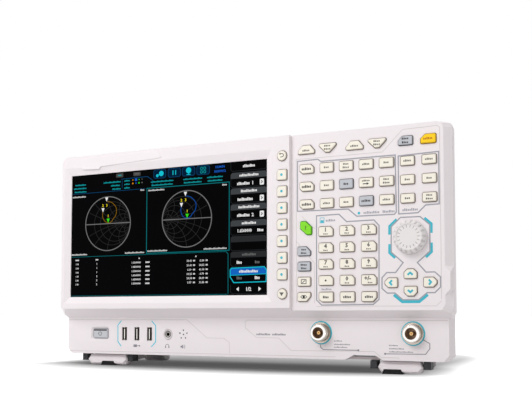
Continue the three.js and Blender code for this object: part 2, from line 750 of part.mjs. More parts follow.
function speakerHoles() {
  const x = itemX(SPEAKER_X);
  const ring = Array.from({ length: SPEAKER_HOLES }, (_, i) => {
    const angle = Math.PI / 2 + (2 * Math.PI * i) / SPEAKER_HOLES;
    return [x + SPEAKER_RING_R * Math.cos(angle), itemZ(POWER_Z) + SPEAKER_RING_R * Math.sin(angle)];
  });
  return [[x, itemZ(POWER_Z)], ...ring].map(([holeX, holeZ]) =>
    rod(SPEAKER_HOLE_R, lowerStart, lowerEnd, holeX, holeZ, SMALL_ROUND_STEPS / 2),
  );
}

function lowerOpenings() {
  const power = grow(powerOutline, CLEARANCE);
  const powerRecess = loft([
    { y: lowerStart, points: grow(power, POWER_RECESS) },
    { y: LOWER_PANEL_Y, points: grow(power, POWER_RECESS) },
    { y: LOWER_PANEL_Y + POWER_RECESS_DEPTH, points: power },
    { y: lowerEnd, points: power },
  ]);
  const usb = usbX.map((x) => {
    const outline = boxOutline(x - USB_W / 2, x + USB_W / 2, itemZ(USB_Z - USB_H / 2), itemZ(USB_Z + USB_H / 2));
    return plate(outline, lowerStart, lowerEnd);
  });
  const jack = rod(JACK_R + CLEARANCE, lowerStart, lowerEnd, itemX(JACK_X), itemZ(POWER_Z));
  const ports = portX.map((x) => rod(PORT_HOLE_R, lowerStart, lowerEnd, x, itemZ(PORT_Z)));
  return [powerRecess, ...usb, jack, ...ports, ...speakerHoles()];
}

function keyOpenings() {
  const end = KEY_WALL_BACK + OVERRUN;
  const single = keys.map(({ outline, face }) => plate(grow(outline, CLEARANCE), face - OVERRUN, end));
  const shared = matKeys.map((outline) => plate(grow(outline, CLEARANCE), KEY_FACE_Y, end));
  const bushing = rod(BUSHING_R + CLEARANCE, KEY_FACE_Y, end, KNOB_X, KNOB_Z);
  return [...single, ...shared, bushing];
}

function boardPosts() {
  const top = RAISED_TOP - POST_EDGE;
  const bottom = RAISED_BOTTOM + POST_EDGE;
  const spots = [
    ...POST_TOP_SHARES.map((share) => [fromLeft(share * KEY_PANEL_W), top]),
    ...POST_BOTTOM_SHARES.map((share) => [fromLeft(share * KEY_PANEL_W), bottom]),
  ];
  const start = KEY_WALL_BACK - OVERRUN;
  return spots.map(([x, z]) => rod(POST_R, start, BOARD_Y - CLEARANCE, x, z, SMALL_ROUND_STEPS));
}

function frontBezel() {
  const hollowed = cut(bezelShell(), ...bezelHollows(), ...lowerOpenings(), ...keyOpenings());
  return join(hollowed, ...boardPosts());
}

// Keys
function pressKey({ outline, face }) {
  const panel = face < 0 ? 0 : PANEL_STEP_Y;
  const flange = grow(outline, KEY_FLANGE);
  const seat = KEY_WALL_BACK + CLEARANCE;
  return loft([
    { y: face, points: grow(outline, -KEY_FACE_INSET) },
    { y: panel, points: outline },
    { y: seat, points: outline },
    { y: seat, points: flange },
    { y: BOARD_Y - CLEARANCE - KEY_TRAVEL, points: flange },
  ]);
}

function powerButton() {
  const seat = LOWER_BACK_Y + CLEARANCE;
  const flange = grow(powerOutline, KEY_FLANGE);
  const face = LOWER_PANEL_Y + POWER_RECESS_DEPTH / 2 - KEY_TRAVEL;
  return loft([
    { y: face, points: grow(powerOutline, -KEY_FACE_INSET) },
    { y: LOWER_PANEL_Y + POWER_RECESS_DEPTH, points: powerOutline },
    { y: seat, points: powerOutline },
    { y: seat, points: flange },
    { y: CHASSIS_Y - CLEARANCE - KEY_TRAVEL, points: flange },
  ]);
}

function keypadMat() {
  const seat = KEY_WALL_BACK + CLEARANCE;
  const gridLeft = fromLeft(GRID_X) - GRID_KEY[0] / 2 - MAT_MARGIN;
  const gridRight = fromLeft(SYSTEM_X + SYSTEM_PITCH_X * (SYSTEM_COLUMNS - 1)) + SYSTEM_KEY[0] / 2 + MAT_MARGIN;
  const gridHigh = gridRowZ(0) + GRID_KEY[1] / 2 + MAT_MARGIN;
  const gridLow = gridRowZ(GRID_ROWS - 1) - GRID_KEY[1] / 2 - MAT_MARGIN;
  const entryX = fromLeft(FUNCTION_X + ENTRY_GAP_X);
  const entryLeft = entryX - ENTRY_KEY[0] / 2 - MAT_MARGIN;
  const entryRight = entryX + (ENTRY_COLUMNS - 1) * ENTRY_PITCH_X + ENTRY_KEY[0] / 2 + MAT_MARGIN;
  const entryLow = fromRaised(ENTRY_BOTTOM) - ENTRY_KEY[1] / 2 - MAT_MARGIN;
  const web = join(
    block(gridLeft, gridRight, seat, seat + MAT_WEB, gridLow, gridHigh),
    block(entryLeft, entryRight, seat, seat + MAT_WEB, entryLow, gridLow + OVERRUN),
  );
  const caps = matKeys.map((outline) =>
    loft([
      { y: KEY_FACE_Y, points: grow(outline, -KEY_FACE_INSET) },
      { y: PANEL_STEP_Y, points: outline },
      { y: seat + MAT_WEB / 2, points: outline },
    ]),
  );
  return join(web, ...caps);
}

// Knob and encoder
function encoderKnob() {
  const back = PANEL_STEP_Y - KNOB_LIFT;
  const face = PANEL_STEP_Y - KNOB_H;
  const wall = PANEL_STEP_Y - KNOB_WALL_H;
  const bushingBore = BUSHING_R + 2 * CLEARANCE;
  const shaftBore = SHAFT_R + CLEARANCE;
  const bushingEnd = PANEL_STEP_Y - KNOB_LIFT - 2 * CLEARANCE;
  const shaftEnd = face + KNOB_TOP_WALL;
  const body = turned(
    [
      [0, face + KNOB_DISH],
      [KNOB_DISH_R - KNOB_DISH, face + KNOB_DISH],
      [KNOB_DISH_R, face],
      [KNOB_FACE_R, face],
      [KNOB_WALL_R, wall],
      [KNOB_R, back],
      [bushingBore, back],
      [bushingBore, bushingEnd - CLEARANCE],
      [shaftBore, bushingEnd - CLEARANCE],
      [shaftBore, shaftEnd],
      [0, shaftEnd],
    ],
    0,
    0,
    2 * KNOB_NOTCHES,
  );
  const notches = Array.from({ length: KNOB_NOTCHES }, (_, i) => {
    const length = KNOB_WALL_R - KNOB_FACE_R + 2 * OVERRUN;
    const notch = new THREE.BoxGeometry(length, KNOB_NOTCH_DEPTH * 2, KNOB_NOTCH_W);
    const slope = Math.atan2(wall - face, KNOB_WALL_R - KNOB_FACE_R);
    notch.rotateZ(slope);
    notch.translate((KNOB_WALL_R + KNOB_FACE_R) / 2, (wall + face) / 2, 0);
    notch.rotateY((2 * Math.PI * i) / KNOB_NOTCHES);
    return solid(notch);
  });
  return cut(body, ...notches).translate([KNOB_X, 0, KNOB_Z]);
}

function rotaryEncoder() {
  const half = ENCODER_SIZE / 2;
  const seat = KEY_WALL_BACK + CLEARANCE;
  const bushingFront = PANEL_STEP_Y - KNOB_LIFT;
  const shaftFront = PANEL_STEP_Y - KNOB_H + KNOB_TOP_WALL + CLEARANCE;
  return join(
    block(KNOB_X - half, KNOB_X + half, seat, BOARD_Y - CLEARANCE, KNOB_Z - half, KNOB_Z + half),
    rod(BUSHING_R, bushingFront, seat + OVERRUN, KNOB_X, KNOB_Z),
    rod(SHAFT_R, shaftFront, bushingFront + OVERRUN, KNOB_X, KNOB_Z, SMALL_ROUND_STEPS),
  );
}

// Glass and display module
function touchGlass() {
  const outline = boxOutline(SCREEN_LEFT, SCREEN_RIGHT, SCREEN_BOTTOM, SCREEN_TOP);
  const front = WALL + CLEARANCE;
  return plate(grow(outline, GLASS_LAP), front, front + GLASS_THICKNESS);
}

const glassBack = WALL + CLEARANCE + GLASS_THICKNESS;

function lcdModule() {
  const outline = grow(boxOutline(SCREEN_LEFT, SCREEN_RIGHT, SCREEN_BOTTOM, SCREEN_TOP), LCD_LAP);
  const front = glassBack + CLEARANCE;
  return loft([
    { y: front, points: outline },
    { y: front + LCD_DEPTH / 2, points: outline },
    { y: front + LCD_DEPTH / 2, points: grow(outline, -LCD_LAP) },
    { y: front + LCD_DEPTH, points: grow(outline, -LCD_LAP) },
  ]);
}

// Sockets of the lower panel
const socketFront = LOWER_PANEL_Y + CLEARANCE;
const socketBack = CHASSIS_Y - CLEARANCE;

function usbPort(x) {
  const z = itemZ(USB_Z);
  const halfW = USB_W / 2 - CLEARANCE;
  const halfH = USB_H / 2 - CLEARANCE;
  const shell = block(x - halfW, x + halfW, socketFront, socketBack, z - halfH, z + halfH);
  const innerW = halfW - USB_WALL;
  const innerH = halfH - USB_WALL;
  const mouth = socketFront - OVERRUN;
  const depth = socketFront + USB_DEPTH;
  const hollow = block(x - innerW, x + innerW, mouth, depth, z - innerH, z + innerH);
  const tongueH = innerH - 2 * USB_WALL;
  const tongueFront = socketFront + OVERRUN / 2;
  const tongueLeft = x - innerW + 2 * USB_WALL;
  const tongue = block(tongueLeft, tongueLeft + USB_TONGUE, tongueFront, depth + USB_WALL, z - tongueH, z + tongueH);
  return join(cut(shell, hollow), tongue);
}

function earphoneJack() {
  const front = LOWER_PANEL_Y - JACK_PROUD;
  const dish = front + JACK_LIP_DEPTH;
  const lip = JACK_R - 2 * JACK_PROUD;
  return turned(
    [
      [0, socketBack - WALL],
      [JACK_BORE_R, socketBack - WALL],
      [JACK_BORE_R, dish],
      [lip, dish],
      [lip + JACK_PROUD, front],
      [JACK_R, front],
      [JACK_R, socketBack],
      [0, socketBack],
    ],
    itemX(JACK_X),
    itemZ(POWER_Z),
  );
}

function speaker() {
  const front = LOWER_BACK_Y + CLEARANCE;
  return rod(SPEAKER_R, front, socketBack, itemX(SPEAKER_X), itemZ(POWER_Z));
}

const portFront = LOWER_PANEL_Y - PORT_PROUD;

function portConnector(x) {
  const floor = portFront + PORT_BORE_DEPTH;
  const seatR = CONTACT_R + CLEARANCE;
  const collarBack = LOWER_PANEL_Y - CLEARANCE;
  const flangeFront = LOWER_BACK_Y + CLEARANCE;
  return turned(
    [
      [0, floor + CONTACT_SEAT],
      [seatR, floor + CONTACT_SEAT],
      [seatR, floor],
      [PORT_BORE_R, floor],
      [PORT_BORE_R, portFront],
      [PORT_R - PORT_CHAMFER, portFront],
      [PORT_R, portFront + PORT_CHAMFER],
      [PORT_R, collarBack - PORT_COLLAR_H],
      [PORT_COLLAR_R, collarBack - PORT_COLLAR_H],
      [PORT_COLLAR_R, collarBack],
      [PORT_R, collarBack],
      [PORT_R, flangeFront],
      [PORT_FLANGE_R, flangeFront],
      [PORT_FLANGE_R, flangeFront + WALL],
      [PORT_NECK_R, flangeFront + WALL],
      [PORT_NECK_R, socketBack],
      [0, socketBack],
    ],
    x,
    itemZ(PORT_Z),
  );
}

function portContact(x) {
  const front = portFront + CONTACT_FRONT;
  const back = portFront + PORT_BORE_DEPTH + CONTACT_SEAT - CLEARANCE;
  return turned(
    [
      [0, front + CONTACT_SEAT],
      [CONTACT_BORE_R, front + CONTACT_SEAT],
      [CONTACT_BORE_R, front],
      [CONTACT_R, front],
      [CONTACT_R, back],
      [0, back],
    ],
    x,
    itemZ(PORT_Z),
    SMALL_ROUND_STEPS,
  );
}

// Rear cover
const coverShoulderY = COVER_FRONT_Y + COVER_SHOULDER_SHARE * COVER_DEPTH;
const coverHeelY = COVER_FRONT_Y + COVER_HEEL_SHARE * COVER_DEPTH;
const coverInnerBack = COVER_BACK_Y - COVER_WALL;
const coverX = (share) => -HALF_W + share * TOTAL_W;
const bayX = coverX(BAY_X_SHARE);
const bayZ = COVER_BOTTOM + BAY_Z;
const fanX = coverX(FAN_X_SHARE);
const fanZ = COVER_BOTTOM + FAN_Z_SHARE * (COVER_ROOF - COVER_BOTTOM);
const inletX = coverX(INLET_X_SHARE);
const inletZ = COVER_BOTTOM + INLET_Z;
const handleY = COVER_FRONT_Y + HANDLE_Y_SHARE * COVER_DEPTH;

function coverOutline(half, bottom, top) {
  const corner = [CORNER, CORNER];
  const cuts = { lowLeft: corner, lowRight: corner, highLeft: corner, highRight: corner };
  return shift(cutOutline([2 * half, top - bottom], cuts), 0, (top + bottom) / 2);
}

function coverStations() {
  return [
    [COVER_FRONT_Y, COVER_FRONT_INSET, 0, COVER_RISE + COVER_TOP_DROP],
    [coverShoulderY, COVER_TAPER_FRONT, 0, 0],
    [coverHeelY, COVER_TAPER_BACK, 0, 0],
    [COVER_BACK_Y, COVER_TAPER_END, COVER_END_DROP, COVER_END_DROP],
  ].map(([y, side, low, high]) => ({
    y,
    points: coverOutline(HALF_W - side, COVER_BOTTOM + low, COVER_ROOF - high),
  }));
}

function coverShell() {
  const stations = coverStations();
  const hollow = stations.map(({ y, points }) => ({ y, points: grow(points, -COVER_WALL) }));
  hollow[0].y = COVER_FRONT_Y - OVERRUN;
  hollow.at(-1).y = coverInnerBack;
  return cut(loft(stations), loft(hollow));
}

function sideVents() {
  const start = COVER_FRONT_Y + VENT_START_SHARE * COVER_DEPTH;
  const pitch = ((VENT_END_SHARE - VENT_START_SHARE) * COVER_DEPTH) / (VENT_COUNT - 1);
  const z = COVER_BOTTOM + VENT_Z_SHARE * (COVER_ROOF - COVER_BOTTOM);
  return Array.from({ length: VENT_COUNT }, (_, i) => {
    const y = start + i * pitch;
    return block(-HALF_W, HALF_W, y - VENT_W / 2, y + VENT_W / 2, z - VENT_H / 2, z + VENT_H / 2);
  });
}

function fanGrille() {
  const outline = rod(FAN_BORE_R, coverInnerBack - OVERRUN, COVER_BACK_Y + OVERRUN, fanX, fanZ);
  const pitch = (2 * FAN_BORE_R) / GRILLE_BARS;
  const bars = Array.from({ length: GRILLE_BARS - 1 }, (_, i) => {
    const z = fanZ - FAN_BORE_R + (i + 1) * pitch;
    const half = (GRILLE_BAR_SHARE * pitch) / 2;
    const [front, back] = [coverInnerBack - 2 * OVERRUN, COVER_BACK_Y + 2 * OVERRUN];
    return block(fanX - FAN_SIZE, fanX + FAN_SIZE, front, back, z - half, z + half);
  });
  return cut(outline, ...bars);
}

function handlePocket() {
  const x = POCKET_W / 2;
  const [front, back] = [handleY - POCKET_D / 2, handleY + POCKET_D / 2];
  const floor = COVER_ROOF - POCKET_DEPTH;
  const top = COVER_ROOF - COVER_WALL / 2;
  const tub = block(
    -x - COVER_WALL,
    x + COVER_WALL,
    front - COVER_WALL,
    back + COVER_WALL,
    floor - COVER_WALL,
    top,
  );
  return { tub, hollow: block(-x, x, front, back, floor, COVER_ROOF + OVERRUN) };
}

function handleSlots() {
  return [-HANDLE_LEG_X, HANDLE_LEG_X].map((x) => {
    const halfW = HANDLE_LEG_W / 2 + CLEARANCE;
    const halfD = HANDLE_LEG_D / 2 + CLEARANCE;
    const bottom = COVER_ROOF - COVER_WALL - OVERRUN;
    return block(x - halfW, x + halfW, handleY - halfD, handleY + halfD, bottom, COVER_ROOF + OVERRUN);
  });
}

// Recessed bay for the rear sockets: a tub, its hollow and the window in its floor
function socketBay() {
  const [halfW, top] = [BAY_W / 2, bayZ + BAY_H];
  const floor = COVER_BACK_Y - BAY_DEPTH;
  const tub = block(
    bayX - halfW - COVER_WALL,
    bayX + halfW + COVER_WALL,
    floor - COVER_WALL,
    COVER_BACK_Y - COVER_WALL / 2,
    bayZ - COVER_WALL,
    top + COVER_WALL,
  );
  const hollow = block(bayX - halfW, bayX + halfW, floor, COVER_BACK_Y + OVERRUN, bayZ, top);
  const windowHalf = halfW - BAY_RIM;
  const window = block(
    bayX - windowHalf,
    bayX + windowHalf,
    floor - COVER_WALL - OVERRUN,
    floor + OVERRUN,
    bayZ + BAY_RIM,
    top - BAY_RIM,
  );
  return { tub, hollow, window };
}

// Feet: places, ears and pins
const footLeft = -HALF_W + FOOT_LEFT_X;
const footRight = HALF_W - FOOT_RIGHT_FROM_RIGHT - RIGHT_FOOT_W;
const footTop = LOWER_BOTTOM - FOOT_TOP_GAP;
const footAxisY = FOOT_FRONT_Y + FOOT_AXIS_Y;

// A pair of ears with pins that point into the two ends of a foot.
function footEars(left, width) {
  const back = FOOT_FRONT_Y + OVERRUN + EAR_Y;
  const root = COVER_FRONT_Y + CLEARANCE;
  const top = LOWER_BOTTOM - CLEARANCE;
  const ear = (x) =>
    join(
      block(x, x + EAR_W, FOOT_FRONT_Y + OVERRUN, back, EAR_BELOW, top),
      block(x, x + EAR_W, root, back, top - OVERRUN, COVER_BOTTOM + COVER_WALL / 2),
    );
  const leftEar = left - CLEARANCE - EAR_W;
  const rightEar = left + width + CLEARANCE;
  const reach = CLEARANCE + FOOT_PIN_L;
  return [
    ear(leftEar),
    ear(rightEar),
    crossRod(FOOT_PIN_R, leftEar + OVERRUN, leftEar + EAR_W + reach, footAxisY, FOOT_AXIS_Z),
    crossRod(FOOT_PIN_R, rightEar - reach, rightEar + OVERRUN, footAxisY, FOOT_AXIS_Z),
  ];
}

function rearCover() {
  const pocket = handlePocket();
  const bay = socketBay();
  const shell = join(coverShell(), pocket.tub, bay.tub);
  const inletHalfW = INLET_W / 2 - INLET_FLANGE / 2 + CLEARANCE;
  const inletHalfH = INLET_H / 2 - INLET_FLANGE / 2 + CLEARANCE;
  const inletOpening = block(
    inletX - inletHalfW,
    inletX + inletHalfW,
    coverInnerBack - OVERRUN,
    COVER_BACK_Y + OVERRUN,
    inletZ - inletHalfH,
    inletZ + inletHalfH,
  );
  const opened = cut(
    shell,
    pocket.hollow,
    bay.hollow,
    bay.window,
    fanGrille(),
    inletOpening,
    ...handleSlots(),
    ...sideVents(),
  );
  return join(opened, ...footEars(footLeft, FOOT_W), ...footEars(footRight, RIGHT_FOOT_W));
}

// Sockets on the metal plate behind the bay's window
function socketBracket() {
  const front = COVER_BACK_Y - BAY_DEPTH - COVER_WALL - CLEARANCE - BRACKET_THICKNESS;
  const back = front + BRACKET_THICKNESS;
  const left = bayX - BAY_W / 2;
  const z = bayZ + BAY_H / 2;
  const spots = BRACKET_SHARES.map((share) => left + share * BAY_W);
  const base = block(left, left + BAY_W, front, back, bayZ, bayZ + BAY_H);
  const boxes = [LAN, USB_SQUARE, VIDEO].map(([width, height], i) => {
    const x = spots[i];
    const end = back + SOCKET_LENGTH;
    const body = block(x - width / 2, x + width / 2, back - CLEARANCE, end, z - height / 2, z + height / 2);
    const [innerW, innerH] = [width / 2 - SOCKET_WALL, height / 2 - SOCKET_WALL];
    return cut(body, block(x - innerW, x + innerW, back + SOCKET_WALL, end + OVERRUN, z - innerH, z + innerH));
  });
  const rounds = spots.slice(3).map((x) =>
    turned(
      [
        [0, back - CLEARANCE],
        [BNC_R, back - CLEARANCE],
        [BNC_R, back + BNC_LENGTH],
        [BNC_BORE_R, back + BNC_LENGTH],
        [BNC_BORE_R, back + SOCKET_WALL],
        [BNC_PIN_R, back + SOCKET_WALL],
        [BNC_PIN_R, back + BNC_LENGTH - SOCKET_WALL],
        [0, back + BNC_LENGTH - SOCKET_WALL],
      ],
      x,
      z,
      SMALL_ROUND_STEPS,
    ),
  );
  return join(base, ...boxes, ...rounds);
}

function powerInlet() {
  const flangeFront = COVER_BACK_Y + CLEARANCE;
  const end = flangeFront + INLET_FLANGE_THICKNESS;
  const centred = (width, height) => shift(cutOutline([width, height]), inletX, inletZ);
  const body = plate(
    centred(INLET_W - INLET_FLANGE, INLET_H - INLET_FLANGE),
    COVER_BACK_Y - INLET_BODY_DEPTH,
    flangeFront + CLEARANCE,
  );
  const core = centred(INLET_CORE_W, INLET_CORE_H);
  const pocket = plate(core, end - INLET_POCKET, end + OVERRUN);
  const [pinW, pinH] = INLET_PIN;
  const pins = [-1, 0, 1].map((side) => {
    const x = inletX + side * INLET_PIN_PITCH;
    const z = inletZ + (side === 0 ? pinH / 2 : -pinH / 2);
    const back = end - INLET_PIN_SET;
    return block(x - pinW / 2, x + pinW / 2, end - INLET_POCKET - OVERRUN, back, z - pinH / 2, z + pinH / 2);
  });
  return join(cut(join(body, plate(centred(INLET_W, INLET_H), flangeFront, end)), pocket), ...pins);
}

// Fan
const fanBack = coverInnerBack - CLEARANCE;
const fanFront = fanBack - FAN_DEPTH;

function fanFrame() {
  const half = FAN_SIZE / 2;
  const body = block(fanX - half, fanX + half, fanFront, fanBack, fanZ - half, fanZ + half);
  const bore = rod(FAN_BORE_R, fanFront - OVERRUN, fanBack + OVERRUN, fanX, fanZ);
  const strutBack = fanFront + FAN_STRUT_THICKNESS;
  const strut = FAN_STRUT_W / 2;
  return join(
    cut(body, bore),
    block(fanX - half + OVERRUN, fanX + half - OVERRUN, fanFront, strutBack, fanZ - strut, fanZ + strut),
    block(fanX - strut, fanX + strut, fanFront, strutBack, fanZ - half + OVERRUN, fanZ + half - OVERRUN),
    rod(FAN_HUB_R, fanFront, strutBack, fanX, fanZ),
    rod(FAN_AXLE_R, fanFront + OVERRUN, fanBack - FAN_STRUT_THICKNESS, fanX, fanZ, SMALL_ROUND_STEPS),
  );
}

function fanRotor() {
  const front = fanFront + FAN_STRUT_THICKNESS + CLEARANCE;
  const back = fanBack - CLEARANCE;
  const boreEnd = fanBack - FAN_STRUT_THICKNESS + CLEARANCE;
  const bore = FAN_AXLE_R + CLEARANCE;
  const hub = turned(
    [
      [0, boreEnd],
      [bore, boreEnd],
      [bore, front],
      [FAN_HUB_R, front],
      [FAN_HUB_R, back],
      [0, back],
    ],
    0,
    0,
  );
  const start = FAN_HUB_R - OVERRUN;
  const chord = back - front - 2 * OVERRUN;
  const blades = Array.from({ length: FAN_BLADES }, (_, i) => {
    const blade = new THREE.BoxGeometry(FAN_BLADE_R - start, chord, FAN_BLADE_THICKNESS);
    blade.rotateX(FAN_BLADE_PITCH);
    blade.translate((FAN_BLADE_R + start) / 2, (front + back) / 2, 0);
    blade.rotateY((2 * Math.PI * i) / FAN_BLADES);
    return solid(blade);
  });
  return join(hub, ...blades).translate([fanX, 0, fanZ]);
}

// Carry handle
function carryHandle() {
  const bottom = COVER_ROOF + CLEARANCE;
  const top = bottom + HANDLE_GRIP_H;
  const [half, depth] = [HANDLE_W / 2, HANDLE_GRIP_D / 2];
  const round = [HANDLE_ROUND, HANDLE_ROUND];
  const outline = shift(
    cutOutline([HANDLE_W, HANDLE_GRIP_H], { highLeft: round, highRight: round }),
    0,
    (bottom + top) / 2,
  );
  const drawn = outline.map(([x, z]) => [x * (1 - HANDLE_ROUND / half), Math.min(z, top - HANDLE_ROUND / 2)]);
  const grip = loft([
    { y: handleY - depth, points: drawn },
    { y: handleY - depth + HANDLE_ROUND / 2, points: outline },
    { y: handleY + depth - HANDLE_ROUND / 2, points: outline },
    { y: handleY + depth, points: drawn },
  ]);
  const headTop = COVER_ROOF - COVER_WALL - CLEARANCE - HANDLE_PULL;
  const legs = [-HANDLE_LEG_X, HANDLE_LEG_X].flatMap((x) => {
    const [legW, legD] = [HANDLE_LEG_W / 2, HANDLE_LEG_D / 2];
    const [headW, headD] = [legW + HANDLE_HEAD_LAP, legD + HANDLE_HEAD_LAP];
    return [
      block(x - legW, x + legW, handleY - legD, handleY + legD, headTop - OVERRUN, bottom + OVERRUN),
      block(x - headW, x + headW, handleY - headD, handleY + headD, headTop - HANDLE_HEAD, headTop),
    ];
  });
  return join(grip, ...legs);
}

// Fold-out foot: a bar with pointed ends, creased at half height, and a leg folded back under the body
function padOutline(left, width, [start, end]) {
  const [padLeft, padRight] = [left + start * width, left + end * width];
  return [
    [padLeft, 0],
    [padRight, 0],
    [padRight - PAD_SLOPE, PAD_H],
    [padLeft + PAD_SLOPE, PAD_H],
  ];
}

function flipFoot(left, width, padShares) {
  const right = left + width;
  const middle = (footTop + FOOT_FLOOR_GAP) / 2;
  const bar = (out, low, high) => [
    [left + FOOT_TIP + out, low],
    [right - FOOT_TIP - out, low],
    [right - out, middle],
    [right - FOOT_TIP - out, high],
    [left + FOOT_TIP + out, high],
    [left + out, middle],
  ];
  const full = bar(0, FOOT_FLOOR_GAP, footTop);
  const front = bar(FOOT_CHAMFER, FOOT_FLOOR_GAP + FOOT_CHAMFER, footTop - FOOT_TOP_CHAMFER);
  const barBack = FOOT_FRONT_Y + FOOT_BAR_D;
  const body = loft([
    { y: FOOT_FRONT_Y, points: front },
    { y: FOOT_FRONT_Y + FOOT_TOP_CHAMFER, points: full },
    { y: barBack, points: full },
  ]);
  const legLow = footTop - FOOT_REAR_H;
  const leg = loft([
    { y: barBack - OVERRUN, points: boxOutline(left + FOOT_TIP, right - FOOT_TIP, legLow, footTop) },
    {
      y: FOOT_FRONT_Y + FOOT_LENGTH,
      points: boxOutline(left + 2 * FOOT_TIP, right - 2 * FOOT_TIP, legLow + FOOT_CHAMFER, footTop),
    },
  ]);
  const bore = FOOT_PIN_R + CLEARANCE;
  const depth = FOOT_PIN_L + CLEARANCE;
  const padSeat = grow(padOutline(left, width, padShares), CLEARANCE);
  return cut(
    join(body, leg),
    crossRod(bore, left - OVERRUN, left + depth, footAxisY, FOOT_AXIS_Z),
    crossRod(bore, right - depth, right + OVERRUN, footAxisY, FOOT_AXIS_Z),
    plate(padSeat, FOOT_FRONT_Y - OVERRUN, FOOT_FRONT_Y + PAD_D + CLEARANCE),
  );
}

function footPad(left, width, padShares) {
  return plate(padOutline(left, width, padShares), FOOT_FRONT_Y, FOOT_FRONT_Y + PAD_D);
}

function rearFoot(share) {
  const x = coverX(share);
  const height = COVER_BOTTOM - CLEARANCE;
  const low = [REAR_FOOT_CUT, REAR_FOOT_CUT];
  const outline = cutOutline([REAR_FOOT_W, height], { lowLeft: low, lowRight: low });
  const front = COVER_BACK_Y - REAR_FOOT_FROM_BACK;
  return plate(shift(outline, x, height / 2), front, front + REAR_FOOT_D);
}

// Inner structure
function keypadBoard() {
  const left = menuWallLeft + 2 * OVERRUN;
  const right = KEYS_RIGHT - WALL - OVERRUN;
  const [low, high] = [RAISED_BOTTOM + WALL + OVERRUN, RAISED_TOP - WALL - 2 * OVERRUN];
  return block(left, right, BOARD_Y, BOARD_Y + BOARD_THICKNESS, low, high);
}

const moduleX = (portX[0] + portX[1]) / 2;
const moduleZ = itemZ(PORT_Z);

function chassisTray() {
  const half = HALF_W - CHASSIS_INSET;
  const floor = COVER_BOTTOM + COVER_WALL + CLEARANCE;
  const top = RAISED_TOP - CHASSIS_INSET;
  const corner = [CORNER, CORNER];
  const outline = cutOutline([2 * half, top - floor], { lowLeft: corner, lowRight: corner });
  const sheet = plate(shift(outline, 0, (top + floor) / 2), CHASSIS_Y, CHASSIS_BACK_Y);
  const lipHalf = half - CORNER;
  const lip = block(-lipHalf, lipHalf, CHASSIS_Y, CHASSIS_Y + CHASSIS_LIP, floor, floor + CHASSIS_THICKNESS);
  const [halfW, halfH] = [MODULE_W / 2 + CLEARANCE, MODULE_H / 2 + CLEARANCE];
  const window = block(
    moduleX - halfW,
    moduleX + halfW,
    CHASSIS_Y - OVERRUN,
    CHASSIS_BACK_Y + OVERRUN,
    moduleZ - halfH,
    moduleZ + halfH,
  );
  return cut(join(sheet, lip), window);
}

function rfModule() {
  const [halfW, halfH] = [MODULE_W / 2, MODULE_H / 2];
  const body = block(
    moduleX - halfW,
    moduleX + halfW,
    CHASSIS_Y,
    CHASSIS_Y + MODULE_D,
    moduleZ - halfH,
    moduleZ + halfH,
  );
  const pitch = MODULE_W / MODULE_RIBS;
  const ribs = Array.from({ length: MODULE_RIBS }, (_, i) => {
    const x = moduleX - halfW + (i + 0.5) * pitch;
    const [front, back] = [CHASSIS_Y + 2 * WALL, CHASSIS_Y + MODULE_D - OVERRUN];
    const top = moduleZ + halfH;
    return block(x - FIN_W / 2, x + FIN_W / 2, front, back, top - OVERRUN, top + MODULE_RIB_H);
  });
  return join(body, ...ribs);
}

function powerSupply() {
  const left = -HALF_W + 2 * CHASSIS_INSET;
  const front = CHASSIS_BACK_Y + CLEARANCE;
  const bottom = RAISED_BOTTOM + CORNER;
  const outline = shift(cutOutline([SUPPLY_W, SUPPLY_H]), left + SUPPLY_W / 2, bottom + SUPPLY_H / 2);
  return plate(outline, front, front + SUPPLY_D);
}

function mainBoard() {
  const left = -HALF_W + 3 * CHASSIS_INSET + SUPPLY_W;
  const front = CHASSIS_BACK_Y + CLEARANCE;
  const back = front + BOARD_THICKNESS;
  const bottom = RAISED_BOTTOM + CORNER;
  const board = block(left, left + MAIN_BOARD_W, front, back, bottom, bottom + MAIN_BOARD_H);
  const x = left + MAIN_BOARD_W / 2;
  const z = bottom + MAIN_BOARD_H / 2;
  const half = HEATSINK_W / 2;
  const base = block(x - half, x + half, back - CLEARANCE, back + FIN_W, z - half, z + half);
  const pitch = (HEATSINK_W - FIN_W) / (HEATSINK_FINS - 1);
  const fins = Array.from({ length: HEATSINK_FINS }, (_, i) => {
    const finX = x - half + i * pitch;
    return block(finX, finX + FIN_W, back + OVERRUN, back + HEATSINK_H, z - half, z + half);
  });
  return join(board, base, ...fins);
}

// Assembly
const instrument = new THREE.Group();

function add(name, made, color, roughness, metalness = 0) {
  const { numProp, vertProperties, triVerts } = made.getMesh();
  const geometry = new THREE.BufferGeometry();
  const positions = Array.from({ length: vertProperties.length / numProp }, (_, i) =>
    Array.from(vertProperties.subarray(i * numProp, i * numProp + 3)),
  );
  geometry.setAttribute("position", new THREE.Float32BufferAttribute(positions.flat(), 3));
  geometry.setIndex(new THREE.BufferAttribute(triVerts, 1));
  geometry.computeVertexNormals();
  const material = new THREE.MeshStandardMaterial({ color, roughness, metalness });
  const mesh = new THREE.Mesh(geometry, material);
  mesh.name = name;
  instrument.add(mesh);
}

const HOUSING = "#EDE9E7";
const DARK_PLASTIC = "#26282B";
const STEEL = "#B5B8BA";
const BOARD_GREEN = "#1F5A3A";

